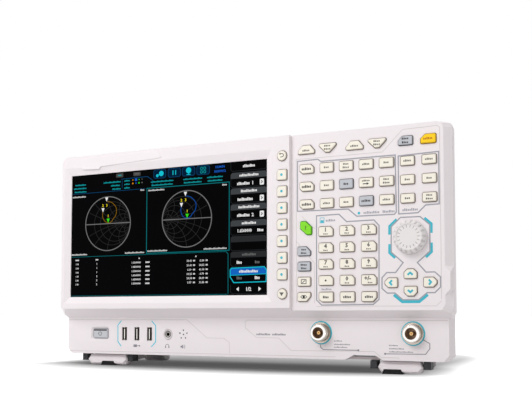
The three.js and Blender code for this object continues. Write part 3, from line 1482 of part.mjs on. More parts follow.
add("front_bezel", frontBezel(), HOUSING, 0.55);
add("rear_cover", rearCover(), HOUSING, 0.6);
add("touch_glass", touchGlass(), "#08090B", 0.12);
add("lcd_module", lcdModule(), "#3B3E42", 0.5, 0.4);
keys.forEach((key) => add(key.name, pressKey(key), key.color, 0.6));
add("keypad_mat", keypadMat(), KEY_CREAM, 0.7);
add("power_button", powerButton(), "#C9CBD0", 0.5);
add("encoder_knob", encoderKnob(), "#ECE9E8", 0.5);
add("rotary_encoder", rotaryEncoder(), STEEL, 0.35, 1);
usbX.forEach((x, i) => add(`usb_port_${i + 1}`, usbPort(x), STEEL, 0.3, 1));
add("earphone_jack", earphoneJack(), DARK_PLASTIC, 0.4);
add("speaker", speaker(), DARK_PLASTIC, 0.6);
portX.forEach((x, i) => {
  add(`port_${i + 1}_connector`, portConnector(x), "#A9A59C", 0.25, 1);
  add(`port_${i + 1}_contact`, portContact(x), "#D9B458", 0.25, 1);
});
add("carry_handle", carryHandle(), "#D9D5D3", 0.6);
add("flip_foot_left", flipFoot(footLeft, FOOT_W, PAD_LEFT_SHARES), HOUSING, 0.55);
add("flip_foot_right", flipFoot(footRight, RIGHT_FOOT_W, PAD_RIGHT_SHARES), HOUSING, 0.55);
add("foot_pad_left", footPad(footLeft, FOOT_W, PAD_LEFT_SHARES), "#1C1C1E", 0.85);
add("foot_pad_right", footPad(footRight, RIGHT_FOOT_W, PAD_RIGHT_SHARES), "#1C1C1E", 0.85);
add("rear_foot_left", rearFoot(REAR_FOOT_X_SHARES[0]), "#1C1C1E", 0.85);
add("rear_foot_right", rearFoot(REAR_FOOT_X_SHARES[1]), "#1C1C1E", 0.85);
add("rear_socket_bracket", socketBracket(), STEEL, 0.35, 1);
add("power_inlet", powerInlet(), DARK_PLASTIC, 0.5);
add("fan_frame", fanFrame(), DARK_PLASTIC, 0.5);
add("fan_rotor", fanRotor(), "#303236", 0.5);
add("keypad_board", keypadBoard(), BOARD_GREEN, 0.5);
add("chassis_tray", chassisTray(), STEEL, 0.4, 1);
add("main_board", mainBoard(), BOARD_GREEN, 0.5);
add("power_supply", powerSupply(), "#8F9294", 0.4, 1);
add("rf_module", rfModule(), "#A3A6A8", 0.35, 1);

// The object's own origin is the middle of its footprint.
const frontmost = PANEL_STEP_Y - KNOB_H;
const rearmost = COVER_BACK_Y + CLEARANCE + INLET_FLANGE_THICKNESS;
instrument.position.set(0, -(frontmost + rearmost) / 2, 0);

export default instrument;
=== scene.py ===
"""Finishes, printed marks, screen picture and studio of the bench network analyzer."""

import json
import math
from collections import defaultdict

import bmesh
import bpy
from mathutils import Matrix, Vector


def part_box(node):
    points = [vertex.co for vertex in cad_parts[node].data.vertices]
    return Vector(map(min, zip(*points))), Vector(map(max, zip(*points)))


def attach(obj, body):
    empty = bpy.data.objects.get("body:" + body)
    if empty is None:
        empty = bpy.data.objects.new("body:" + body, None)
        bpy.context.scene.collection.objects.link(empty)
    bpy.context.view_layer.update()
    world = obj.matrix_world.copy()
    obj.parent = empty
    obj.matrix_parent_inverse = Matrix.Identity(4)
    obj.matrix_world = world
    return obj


bl_info = {
    "name": "Bench network analyzer",
    "version": (1, 0, 0),
    "blender": (4, 5, 0),
    "location": "3D View > Sidebar > Analyzer",
    "description": "Finishes, printed marks, screen picture and studio for the packed analyzer",
    "category": "Object",
}

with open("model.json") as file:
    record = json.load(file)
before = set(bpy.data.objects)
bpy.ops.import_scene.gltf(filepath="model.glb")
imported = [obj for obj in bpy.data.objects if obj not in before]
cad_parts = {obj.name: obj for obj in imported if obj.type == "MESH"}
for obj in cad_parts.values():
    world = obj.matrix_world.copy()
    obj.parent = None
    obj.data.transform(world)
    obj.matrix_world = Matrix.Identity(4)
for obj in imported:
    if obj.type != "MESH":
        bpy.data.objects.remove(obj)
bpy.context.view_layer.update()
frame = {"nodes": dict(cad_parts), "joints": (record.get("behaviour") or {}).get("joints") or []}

# The upright faces that carry prints, in metres along the depth of the instrument.
DISPLAY_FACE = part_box("front_bezel")[0].y
KEY_PANEL = DISPLAY_FACE + 0.0038
LOWER_PANEL = DISPLAY_FACE + 0.0145
GLASS_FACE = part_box("touch_glass")[0].y
COVER_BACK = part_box("power_inlet")[1].y - 0.002
KEY_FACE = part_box("arrow_up_key")[0].y

KEY_NAMES = [joint["name"][: -len("_press")] for joint in frame["joints"] if joint["name"].endswith("_press")]
MENU_KEYS = [name for name in KEY_NAMES if name.startswith("menu_key")]
PORTS = ["port_1_connector", "port_2_connector"]


def middle(node):
    """Across and up of a node's centre, in millimetres."""
    low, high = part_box(node)
    centre = (low + high) * 500
    return centre.x, centre.z


# Colours and nodes


def linear(code):
    """An sRGB hex colour as the linear numbers that Blender keeps."""
    parts = [int(code[i : i + 2], 16) / 255 for i in (1, 3, 5)]
    return [p / 12.92 if p <= 0.04045 else ((p + 0.055) / 1.055) ** 2.4 for p in parts]


def opaque(color, share=1.0):
    """A linear colour with full alpha, made lighter or darker by a share."""
    return [min(1.0, part * share) for part in color[:3]] + [1.0]


def add_node(tree, kind, inputs=None, **settings):
    """One node with its settings. Inputs are numbers or colours to hold, or sockets to link."""
    made = tree.nodes.new(kind)
    for key, value in settings.items():
        setattr(made, key, value)
    for key, value in (inputs or {}).items():
        if isinstance(value, bpy.types.NodeSocket):
            tree.links.new(value, made.inputs[key])
        else:
            made.inputs[key].default_value = value
    return made


def blank_material(name):
    """A new material, its empty node tree and the place on the piece, in metres."""
    material = bpy.data.materials.new(name)
    material.use_nodes = True
    material.node_tree.nodes.clear()
    place = add_node(material.node_tree, "ShaderNodeTexCoord").outputs["Object"]
    return material, material.node_tree, place


def close_material(material, inputs):
    """Gives a material its surface shader. Inputs are that shader's own."""
    shader = add_node(material.node_tree, "ShaderNodeBsdfPrincipled", inputs)
    add_node(material.node_tree, "ShaderNodeOutputMaterial", {"Surface": shader.outputs[0]})
    return material


def drifting(tree, place, size, detail, low, high):
    """A number that drifts from low to high over patches of that size in millimetres."""
    patches = add_node(tree, "ShaderNodeTexNoise", {"Vector": place, "Scale": 1000 / size, "Detail": detail})
    spread = {"Value": patches.outputs[0], "To Min": low, "To Max": high}
    return add_node(tree, "ShaderNodeMapRange", spread).outputs["Result"]


def painted(tree, ground, *coats):
    """A ground colour under coats of paint. Each coat is how much it covers, from 0 to 1, and its colour."""
    for cover, coat in coats:
        pair = [part if isinstance(part, bpy.types.NodeSocket) else opaque(part) for part in (ground, coat)]
        mixed = add_node(tree, "ShaderNodeMix", {0: cover, 6: pair[0], 7: pair[1]}, data_type="RGBA")
        ground = mixed.outputs[2]
    return ground


def mottled(tree, place, color, size, low, high):
    """A colour that drifts between two shares of itself over patches of that size in millimetres."""
    patches = add_node(tree, "ShaderNodeTexNoise", {"Vector": place, "Scale": 1000 / size, "Detail": 2.0})
    return painted(tree, opaque(color, low), (patches.outputs[0], opaque(color, high)))


def sunk(tree, place, start, end):
    """A cover that grows from 0 to 1 between two depths in metres."""
    depth = add_node(tree, "ShaderNodeSeparateXYZ", {0: place}).outputs["Y"]
    reach = {"Value": depth, "From Min": start, "From Max": end}
    return add_node(tree, "ShaderNodeMapRange", reach).outputs["Result"]


def off_axis(tree, place, node):
    """How far a place is from the axis that runs through a node's middle along the depth."""
    x, z = middle(node)
    shift = {"Vector": place, "Location": (-x / 1000, 0, -z / 1000), "Scale": (1, 0, 1)}
    centred = add_node(tree, "ShaderNodeMapping", shift).outputs[0]
    return add_node(tree, "ShaderNodeVectorMath", {0: centred}, operation="LENGTH").outputs["Value"]


def gritty(material, place, tint, gloss, grit, inputs):
    """Closes a material whose skin has fine grit. Gloss is the lowest and highest roughness, which drifts
    with the grit. Grit is the size of a grain, the strength of its relief and the radius that softens
    corners; sizes are in millimetres. The other inputs are the shader's own."""
    tree = material.node_tree
    grain, relief, edge = grit
    fine = {"Vector": place, "Scale": 1000 / grain, "Detail": 3.0}
    grains = add_node(tree, "ShaderNodeTexNoise", fine).outputs[0]
    corner = add_node(tree, "ShaderNodeBevel", {"Radius": edge / 1000}, samples=4)
    dents = {"Strength": relief, "Distance": grain / 20000, "Height": grains, "Normal": corner.outputs[0]}
    drift = add_node(tree, "ShaderNodeMapRange", {"Value": grains, "To Min": gloss[0], "To Max": gloss[1]})
    skin = {
        "Base Color": tint,
        "Roughness": drift.outputs["Result"],
        "Normal": add_node(tree, "ShaderNodeBump", dents).outputs[0],
    }
    return close_material(material, {**skin, **inputs})


# Finishes

# How far behind a key's face its face colour starts and ends to give way to the painted shade of its wall, in
# metres.
SHADE_START, SHADE_END = 0.0004, 0.0014
# Half the width and half the height that hold a cap of the keypad, in metres.
CAP_HALVES = {"X": 0.008, "Z": 0.006}
# The port's polished front ring ends between these distances behind its face, in metres.
RING_START, RING_END = 0.0006, 0.0016
# The contact sleeve of the earphone socket: its radius and half its wall, in metres.
SLEEVE_RADIUS, SLEEVE_HALF = 0.00215, 0.0003
# The radii, in millimetres, inside which the port's bore and the earphone socket's black core lie; both are
# dark partly with painted shade.
BORE_RADIUS, CORE_RADIUS = 5.15, 3.3
# The bracket's floor lies so far behind its front, and half the depth that counts as floor, in metres.
FLOOR_DEPTH, FLOOR_HALF = 0.0022, 0.0003
# A contact tongue's place beside the middle of its data socket, and half its width, in metres.
TONGUE_SHIFT, TONGUE_HALF = -0.0006, 0.00052


def moulded_plastic(name, color, roughness, edge, relief=0.25, shade_below=None):
    """ABS from a spark-eroded mould: an even, dull white skin with soft corners. The real grit of about
    0.1 mm is drawn at 1.2 mm, so that it shows as the faint unevenness it gives. What lies below a
    height in metres can be dark grey, as painted shade."""
    material, tree, place = blank_material(name)
    tint = mottled(tree, place, color, 60, 0.985, 1.01)
    if shade_below is not None:
        height = add_node(tree, "ShaderNodeSeparateXYZ", {0: place}).outputs["Z"]
        # Painted shade: below that height the colour turns dark grey.
        low = add_node(tree, "ShaderNodeMath", {0: height, 1: shade_below}, operation="LESS_THAN")
        tint = painted(tree, tint, (low.outputs[0], linear("#2F3033")))
    gloss = roughness - 0.06, roughness + 0.06
    return gritty(material, place, tint, gloss, (1.2, relief, edge), {"IOR": 1.5, "Specular IOR Level": 0.35})


def silicone_keys(name, color, shaded_wall_color, face, cap_color=None, cap_places=()):
    """Silicone rubber keys: silky faces over walls darkened with painted shade as they sink into the panel.
    Face is the depth of the faces in metres. The caps at the places in millimetres have a colour of their
    own, and their walls a painted shade of it."""
    material, tree, place = blank_material(name)
    axes = add_node(tree, "ShaderNodeSeparateXYZ", {0: place}).outputs
    cap, wall = color, shaded_wall_color
    for centre in cap_places:
        inside = 1.0
        for (axis, half), at in zip(CAP_HALVES.items(), centre):
            span = {0: axes[axis], 1: at / 1000, 2: half}
            near = add_node(tree, "ShaderNodeMath", span, operation="COMPARE")
            both = {0: inside, 1: near.outputs[0]}
            inside = add_node(tree, "ShaderNodeMath", both, operation="MULTIPLY").outputs[0]
        cap = painted(tree, cap, (inside, cap_color))
        # Painted shade: a cap's wall is its colour at three tenths.
        wall = painted(tree, wall, (inside, opaque(cap_color, 0.3)))
    tint = painted(tree, cap, (sunk(tree, place, face + SHADE_START, face + SHADE_END), wall))
    skin = {"IOR": 1.43, "Specular IOR Level": 0.3}
    return gritty(material, place, tint, (0.5, 0.6), (0.8, 0.2, 0.35), skin)


def cover_glass(name):
    """Chemically hardened touch glass with an anti-reflective coat over a black mask: it looks deep black,
    because the coat takes nearly all of the mirror image away. Faint wipe marks change only its gloss."""
    material, tree, place = blank_material(name)
    tint = mottled(tree, place, linear("#020203"), 80, 0.8, 1.2)
    wiped = drifting(tree, place, 35, 4.0, 0.16, 0.3)
    return close_material(
        material, {"Base Color": tint, "Roughness": wiped, "IOR": 1.5, "Specular IOR Level": 0.02}
    )


def dark_plastic(name, color):
    """Glass-filled PBT, injection moulded: near black with a dry, faintly cloudy skin."""
    material, tree, place = blank_material(name)
    tint = mottled(tree, place, color, 12, 0.8, 1.25)
    skin = {"IOR": 1.55, "Specular IOR Level": 0.35}
    return gritty(material, place, tint, (0.37, 0.55), (0.9, 0.3, 0.25), skin)


def plated_metal(name, color, roughness, grain=2.5):
    """Nickel, zinc or gold plating over turned or stamped metal: a bright skin whose gloss drifts, with tool
    marks of that grain in millimetres."""
    material, tree, place = blank_material(name)
    tint = mottled(tree, place, color, 8, 0.94, 1.04)
    gloss = roughness - 0.06, roughness + 0.08
    return gritty(material, place, tint, gloss, (grain, 0.12, 0.2), {"Metallic": 1.0})


def port_metal(name, bright, barrel_tone_and_reflection, bore_tarnish_and_shade, ports, bore_radius):
    """White bronze over a turned N-type barrel: a polished front ring, a turned barrel behind it whose duller
    colour is partly its turned finish and partly painted reflection, and a deep bore whose dark brown is
    partly tarnish and partly painted shade. The radius of the bore is in millimetres."""
    material, tree, place = blank_material(name)
    reaches = [off_axis(tree, place, port) for port in ports]
    reach = add_node(tree, "ShaderNodeMath", {0: reaches[0], 1: reaches[1]}, operation="MINIMUM").outputs[0]
    limit = {0: reach, 1: bore_radius / 1000}
    inside = add_node(tree, "ShaderNodeMath", limit, operation="LESS_THAN").outputs[0]
    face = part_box(ports[0])[0].y
    behind = sunk(tree, place, face + RING_START, face + RING_END)
    tint = painted(tree, bright, (behind, barrel_tone_and_reflection), (inside, bore_tarnish_and_shade))
    # So that the bore stays dark as painted shade, its metal share falls to a quarter and little of its wall
    # is seen as a mirror.
    share = {0: inside, 1: -0.75, 2: 1.0}
    metal = add_node(tree, "ShaderNodeMath", share, operation="MULTIPLY_ADD").outputs[0]
    return gritty(material, place, tint, (0.16, 0.3), (2.0, 0.15, 0.2), {"Metallic": metal})


def lined_steel(name, shell, lining, axis, places, half, gloss, grit):
    """Nickel-plated steel shells of sockets round the moulding that carries the contacts, which is not metal.
    A shell's colour is given: bright, or dark as painted shade. The moulding lies within half of one of the
    places on an axis, in metres."""
    material, tree, place = blank_material(name)
    along = add_node(tree, "ShaderNodeSeparateXYZ", {0: place}).outputs[axis]
    moulded = 0.0
    for at in places:
        near = add_node(tree, "ShaderNodeMath", {0: along, 1: at, 2: half}, operation="COMPARE").outputs[0]
        moulded = add_node(tree, "ShaderNodeMath", {0: moulded, 1: near}, operation="MAXIMUM").outputs[0]
    metal = add_node(tree, "ShaderNodeMath", {0: 1.0, 1: moulded}, operation="SUBTRACT").outputs[0]
    return gritty(material, place, painted(tree, shell, (moulded, lining)), gloss, grit, {"Metallic": metal})


def milled_aluminium(name, color):
    """Milled aluminium: cutter marks in one direction, 0.6 mm apart, so its gloss is streaked."""
    material, tree, place = blank_material(name)
    streaks = add_node(tree, "ShaderNodeMapping", {"Vector": place, "Scale": (0.06, 1.0, 1.0)}).outputs[0]
    tint = mottled(tree, streaks, color, 5, 0.93, 1.05)
    return gritty(material, streaks, tint, (0.3, 0.5), (0.6, 0.2, 0.3), {"Metallic": 1.0})


def rubber(name, color):
    """Moulded nitrile rubber of the feet: matt and slightly dusty."""
    material, tree, place = blank_material(name)
    tint = mottled(tree, place, color, 6, 0.7, 1.4)
    skin = {"IOR": 1.5, "Specular IOR Level": 0.25}
    return gritty(material, place, tint, (0.75, 0.95), (0.7, 0.5, 0.4), skin)


def circuit_board(name, color):
    """Glass-epoxy board under solder mask: glossy green, with paler pads and tracks about 5 mm apart."""
    material, tree, place = blank_material(name)
    cells = {"Vector": place, "Scale": 1000 / 5, "Randomness": 0.35}
    pads = add_node(tree, "ShaderNodeTexVoronoi", cells, distance="CHEBYCHEV")
    apart = pads.outputs["Distance"]
    rim = {"Value": apart, "From Min": 0.18, "From Max": 0.22, "To Min": 1.0, "To Max": 0.0}
    tracks = add_node(tree, "ShaderNodeMapRange", rim).outputs["Result"]
    gloss = add_node(tree, "ShaderNodeMath", {0: tracks, 1: -0.1, 2: 0.35}, operation="MULTIPLY_ADD")
    tint = painted(tree, color, (tracks, linear("#8E9F6A")))
    return close_material(material, {"Base Color": tint, "Roughness": gloss.outputs[0], "IOR": 1.55})


def ringed_socket(name, rim, core, sleeve_color, node, radius):
    """A round plastic socket: a pale rim outside the radius in millimetres, a black core that is partly the
    socket's black plastic and partly painted shade of the hole, and in it a bright contact sleeve round the
    hole."""
    material, tree, place = blank_material(name)
    reach = off_axis(tree, place, node)
    outside = add_node(tree, "ShaderNodeMath", {0: reach, 1: radius / 1000}, operation="GREATER_THAN")
    wall = {0: reach, 1: SLEEVE_RADIUS, 2: SLEEVE_HALF}
    sleeve = add_node(tree, "ShaderNodeMath", wall, operation="COMPARE")
    tint = painted(tree, core, (sleeve.outputs[0], sleeve_color), (outside.outputs[0], rim))
    return gritty(material, place, tint, (0.3, 0.45), (0.9, 0.2, 0.2), {"IOR": 1.5})


def printing_ink(name, color, roughness=0.5):
    """Screen-printed two-part ink: a thin, slightly uneven film, duller than the plastic under it."""
    material, tree, place = blank_material(name)
    tint = mottled(tree, place, color, 3, 0.94, 1.05)
    film = drifting(tree, place, 1.5, 2.0, roughness - 0.08, roughness + 0.08)
    return close_material(
        material, {"Base Color": tint, "Roughness": film, "IOR": 1.5, "Specular IOR Level": 0.2}
    )


def lit_picture(name, color, strength):
    """Backlit liquid crystal picture seen through the glass: it shines by itself. The light drifts a little
    over the panel, as a real backlight does."""
    material, tree, place = blank_material(name)
    unlit = {"Base Color": opaque(linear("#000000")), "Roughness": 0.4, "Specular IOR Level": 0.0}
    glow = mottled(tree, place, color, 90, 0.94, 1.0)
    return close_material(material, {**unlit, "Emission Color": glow, "Emission Strength": strength})


# Flat shapes, in millimetres across and up

FIGURE_RISE = 0.69  # height of a plain figure as a share of its type size
SMALL_STEP = 1.2  # from block to block in the smallest stand-ins for words
WELD_GAP = 2e-6  # corners of a print that are closer than this, in metres, are one


def bar(x, z, width, height):
    """A rectangle on its centre."""
    return cut_bar(x, z, width, height, 0)


def cut_bar(x, z, width, height, cut, corners="abcd"):
    """A rectangle with cut corners: a low left, b low right, c high right, d high left."""
    half, rise = width / 2, height / 2
    outline = []
    for name, sx, sz, first in (("a", -1, -1, "z"), ("b", 1, -1, "x"), ("c", 1, 1, "z"), ("d", -1, 1, "x")):
        size = cut if name in corners else 0
        along = (x + sx * (half - size), z + sz * rise)
        beside = (x + sx * half, z + sz * (rise - size))
        pair = (beside, along) if first == "z" else (along, beside)
        outline.extend(pair if size else pair[:1])
    return [outline]


def words(*rows, step=1.45):
    """Rows of small blocks that stand for words and spell nothing: middle, width and height of each row."""
    shapes = []
    for x, z, width, height in rows:
        count = max(2, round(width / step))
        pitch = width / count
        for i in range(count):
            rise = height * (1.0, 0.72, 0.72, 0.9)[(i * 3 + count) % 4]
            shapes += bar(x - width / 2 + pitch * (i + 0.5), z - height / 2 + rise / 2, pitch * 0.7, rise)
    return shapes


def polygon(*corners):
    """One shape with those corners."""
    return [list(corners)]


def discs(*places, radius, steps=20):
    """Round dots of one radius."""
    turns = [2 * math.pi * i / steps for i in range(steps)]
    return [[(x + radius * math.cos(t), z + radius * math.sin(t)) for t in turns] for x, z in places]


def strip(points, width, closed=False):
    """Quads along a bent line, mitred at its corners."""
    count = len(points)
    sides = []
    for i, point in enumerate(points):
        here = Vector(point)
        ways = []
        if closed or i:
            ways.append((here - Vector(points[i - 1])).normalized())
        if closed or i < count - 1:
            ways.append((Vector(points[(i + 1) % count]) - here).normalized())
        along = (ways[0] + ways[-1]).normalized()
        reach = width / 2 / max(0.35, along.dot(ways[0]))
        across = Vector((-along.y, along.x)) * reach
        sides.append((tuple(here + across), tuple(here - across)))
    pairs = zip(sides, sides[1:] + sides[:1]) if closed else zip(sides, sides[1:])
    return [[right, next_right, next_left, left] for (left, right), (next_left, next_right) in pairs]


def strips(lines, width, closed=False):
    """Strips along several lines."""
    return [shape for line in lines for shape in strip(line, width, closed)]


def arc(x, z, radius, start, end, steps):
    """Points on a circle from one angle to another, in degrees."""
    turns = [math.radians(start + (end - start) * i / steps) for i in range(steps + 1)]
    return [(x + radius * math.cos(t), z + radius * math.sin(t)) for t in turns]


def ring(x, z, radius, width, steps=48):
    """A flat ring on the middle of its own width."""
    return strip(arc(x, z, radius, 0, 360, steps)[:-1], width, closed=True)


def linked(name, data):
    """A new object of that data in the scene."""
    made = bpy.data.objects.new(name, data)
    bpy.context.scene.collection.objects.link(made)
    return made


def figures(text, x, z, height, squeeze=1.0, weight=0.025):
    """The faces of plain figures of that height, on their middle. Squeeze narrows them, and weight thickens
    their strokes, as a share of the type size."""
    curve = bpy.data.curves.new("figures", "FONT")
    curve.body = text
    curve.align_x = "CENTER"
    curve.size = height / FIGURE_RISE
    curve.resolution_u = 1
    curve.offset = weight * curve.size
    holder = linked("figures", curve)
    mesh = bpy.data.meshes.new_from_object(holder.evaluated_get(bpy.context.evaluated_depsgraph_get()))
    corners = [(x + v.co.x * squeeze, z + v.co.y - height / 2) for v in mesh.vertices]
    faces = [[corners[i] for i in face.vertices] for face in mesh.polygons]
    bpy.data.objects.remove(holder)
    bpy.data.curves.remove(curve)
    bpy.data.meshes.remove(mesh)
    return faces


def add_piece(name, mesh, body):
    """A visible piece of that mesh on its moving body."""
    piece = linked(name, mesh)
    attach(piece, body)
    return piece


def lay(name, shapes, depth, finish, slot, body="housing", lift=0.04, sink=0.03):
    """One thin film of flat shapes in front of the upright face at that depth in metres. Lift and sink, in
    millimetres, are how far it stands proud of the face and reaches into it."""
    mesh = bpy.data.meshes.new(name)
    corners, faces = [], []
    for shape in shapes:
        faces.append(list(range(len(corners), len(corners) + len(shape))))
        corners.extend((x / 1000, depth - lift / 1000, z / 1000) for x, z in shape)
    mesh.from_pydata(corners, [], faces)
    sheet = bmesh.new()
    sheet.from_mesh(mesh)
    bmesh.ops.remove_doubles(sheet, verts=sheet.verts, dist=WELD_GAP)
    sheet.to_mesh(mesh)
    sheet.free()
    mesh.materials.append(finish)
    piece = add_piece(name, mesh, body)
    film = piece.modifiers.new("film", "SOLIDIFY")
    film.thickness = (lift + sink) / 1000
    film.offset = -1
    return piece


# Settings


class AnalyzerHousing(bpy.types.PropertyGroup):
    white: bpy.props.FloatVectorProperty(
        name="Housing", description="Colour of the front housing", subtype="COLOR", default=linear("#EFE8EA")
    )
    # The rear cover's light grey is set darker than the front partly as painted shade, matching the shade on
    # the instrument's sides; the handle takes the same colour.
    rear: bpy.props.FloatVectorProperty(
        name="Rear cover", description="Colour of the rear cover", subtype="COLOR", default=linear("#D5CBCC")
    )
    edge: bpy.props.FloatProperty(
        name="Edge rounding",
        description="Radius that softens the housing's corners",
        unit="LENGTH",
        default=0.0004,
    )


class AnalyzerKeys(bpy.types.PropertyGroup):
    cream: bpy.props.FloatVectorProperty(
        name="Cream keys", description="Colour of most key faces", subtype="COLOR", default=linear("#F6F1E3")
    )
    grey: bpy.props.FloatVectorProperty(
        name="Grey keys", description="Colour of grey keys", subtype="COLOR", default=linear("#C2C5CB")
    )
    green: bpy.props.FloatVectorProperty(
        name="Green key", description="Colour of the green key", subtype="COLOR", default=linear("#86E02C")
    )
    yellow: bpy.props.FloatVectorProperty(
        name="Yellow key", description="Colour of the yellow key", subtype="COLOR", default=linear("#FFD21C")
    )


class AnalyzerPrint(bpy.types.PropertyGroup):
    line: bpy.props.FloatVectorProperty(
        name="Panel lines", description="Colour of the frames", subtype="COLOR", default=linear("#A2A3AB")
    )
    accent: bpy.props.FloatVectorProperty(
        name="Accent", description="Colour of the accent bands", subtype="COLOR", default=linear("#45B9CC")
    )
    mark: bpy.props.FloatVectorProperty(
        name="Key marks", description="Colour of key marks", subtype="COLOR", default=linear("#67635E")
    )
    line_width: bpy.props.FloatProperty(
        name="Line width", description="Width of the printed frames", unit="LENGTH", default=0.0011
    )


class AnalyzerScreen(bpy.types.PropertyGroup):
    brightness: bpy.props.FloatProperty(
        name="Brightness", description="Strength of the picture's light", default=0.95, min=0.0, max=2.0
    )


class AnalyzerStage(bpy.types.PropertyGroup):
    lens: bpy.props.FloatProperty(
        name="Lens", description="Focal length of the camera", default=53.042, subtype="DISTANCE_CAMERA"
    )
    ambient: bpy.props.FloatProperty(
        name="Ambient", description="Even light from all round", default=0.55, min=0.0
    )
    lamp: bpy.props.FloatProperty(
        name="Main lamp", description="Power of the large lamp, in watts", default=11.0, min=0.0
    )


def settings(name):
    """The scene's settings for that group of pieces."""
    return getattr(bpy.context.scene, "analyzer_" + name)


# Pieces carried over from the solids

LOOSE_GAP = 1e-5  # corners of a solid's loose triangles that are closer than this, in metres, are one
SHARP_ANGLE = 0.6  # radians; flatter edges than this stay unrounded


def dress(nodes, material):
    """Gives CAD nodes their finish."""
    for name in nodes:
        slots = frame["nodes"][name].data.materials
        slots.clear()
        slots.append(material)


def round_edges(nodes, radius):
    """Rounds the sharp edges of CAD nodes by a live bevel of that radius in millimetres."""
    for name in nodes:
        piece = frame["nodes"][name]
        weld = piece.modifiers.new("weld", "WELD")
        weld.merge_threshold = LOOSE_GAP
        bevel = piece.modifiers.new("round", "BEVEL")
        bevel.width = radius / 1000
        bevel.segments = 2
        bevel.limit_method = "ANGLE"
        bevel.angle_limit = SHARP_ANGLE
        bevel.use_clamp_overlap = True


class ANALYZER_OT_housing(bpy.types.Operator):
    """Gives the housing, cover, handle and feet their moulded skin"""

    bl_idname = "analyzer.housing"
    bl_label = "Housing"

    def execute(self, context):
        chosen = settings("housing")
        edge = chosen.edge * 1000
        white = moulded_plastic("white_abs_front", chosen.white, 0.48, edge=edge)
        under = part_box("front_bezel")[0].z
        # Painted shade: the cover's hinge ears under the housing are dark grey, so they sink into the shadow
        # under the instrument.
        rear = moulded_plastic("white_abs_cover", chosen.rear, 0.55, edge, 0.35, shade_below=under)
        grip = moulded_plastic("white_abs_handle", chosen.rear, 0.5, edge=edge)
        dress(["front_bezel", "flip_foot_left", "flip_foot_right"], white)
        dress(["rear_cover"], rear)
        dress(["carry_handle"], grip)
        round_edges(["carry_handle"], 0.5)
        round_edges(["flip_foot_left", "flip_foot_right"], 0.25)
        feet = rubber("black_nitrile_rubber", linear("#1B1B1D"))
        dress(["foot_pad_left", "foot_pad_right"], feet)
        dress(["rear_foot_left", "rear_foot_right"], rubber("grey_nitrile_rubber", linear("#B4B1B2")))
        round_edges(["foot_pad_left", "foot_pad_right", "rear_foot_left", "rear_foot_right"], 0.4)
        return {"FINISHED"}


class ANALYZER_OT_keys(bpy.types.Operator):
    """Gives the keys, the keypad and the knob their silicone and plastic faces"""

    bl_idname = "analyzer.keys"
    bl_label = "Keys and knob"

    def execute(self, context):
        chosen = settings("keys")
        # Each kind of key: its face colour and the darker colour of its walls, which is painted shade.
        faces_and_shaded_walls = {
            "cream": (chosen.cream, linear("#95897D")),
            "grey": (chosen.grey, linear("#5C6066")),
            "green": (chosen.green, linear("#3F9A16")),
            "yellow": (chosen.yellow, linear("#B48706")),
        }
        kinds = {
            "tune_key": "grey", "left_key_1": "grey", "left_key_2": "grey", "help_key": "green",
            "preset_key": "yellow",
        }
        silicone = {}
        rubber_keys = [name for name in KEY_NAMES if name != "power_button"]
        for name in rubber_keys:
            kind = kinds.get(name, "cream")
            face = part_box(name)[0].y
            look = (kind, round(face, 4))
            if look not in silicone:
                title = f"{kind}_silicone_" + ("raised" if face < DISPLAY_FACE else "panel")
                silicone[look] = silicone_keys(title, *faces_and_shaded_walls[kind], face)
            dress([name], silicone[look])
        round_edges(rubber_keys, 0.25)
        grey_caps = [(GRID_X[1], GRID_Z[1]), (GRID_X[2], GRID_Z[2])]
        cream = faces_and_shaded_walls["cream"]
        keypad = silicone_keys("cream_silicone_keypad", *cream, KEY_FACE, chosen.grey, grey_caps)
        dress(["keypad_mat"], keypad)
        smoke = moulded_plastic("grey_translucent_abs", linear("#C4C6CB"), 0.35, edge=0.4, relief=0.1)
        dress(["power_button"], smoke)
        round_edges(["power_button"], 0.4)
        knob = moulded_plastic("white_abs_knob", linear("#E9E5E4"), 0.42, edge=0.5, relief=0.15)
        dress(["encoder_knob"], knob)
        return {"FINISHED"}


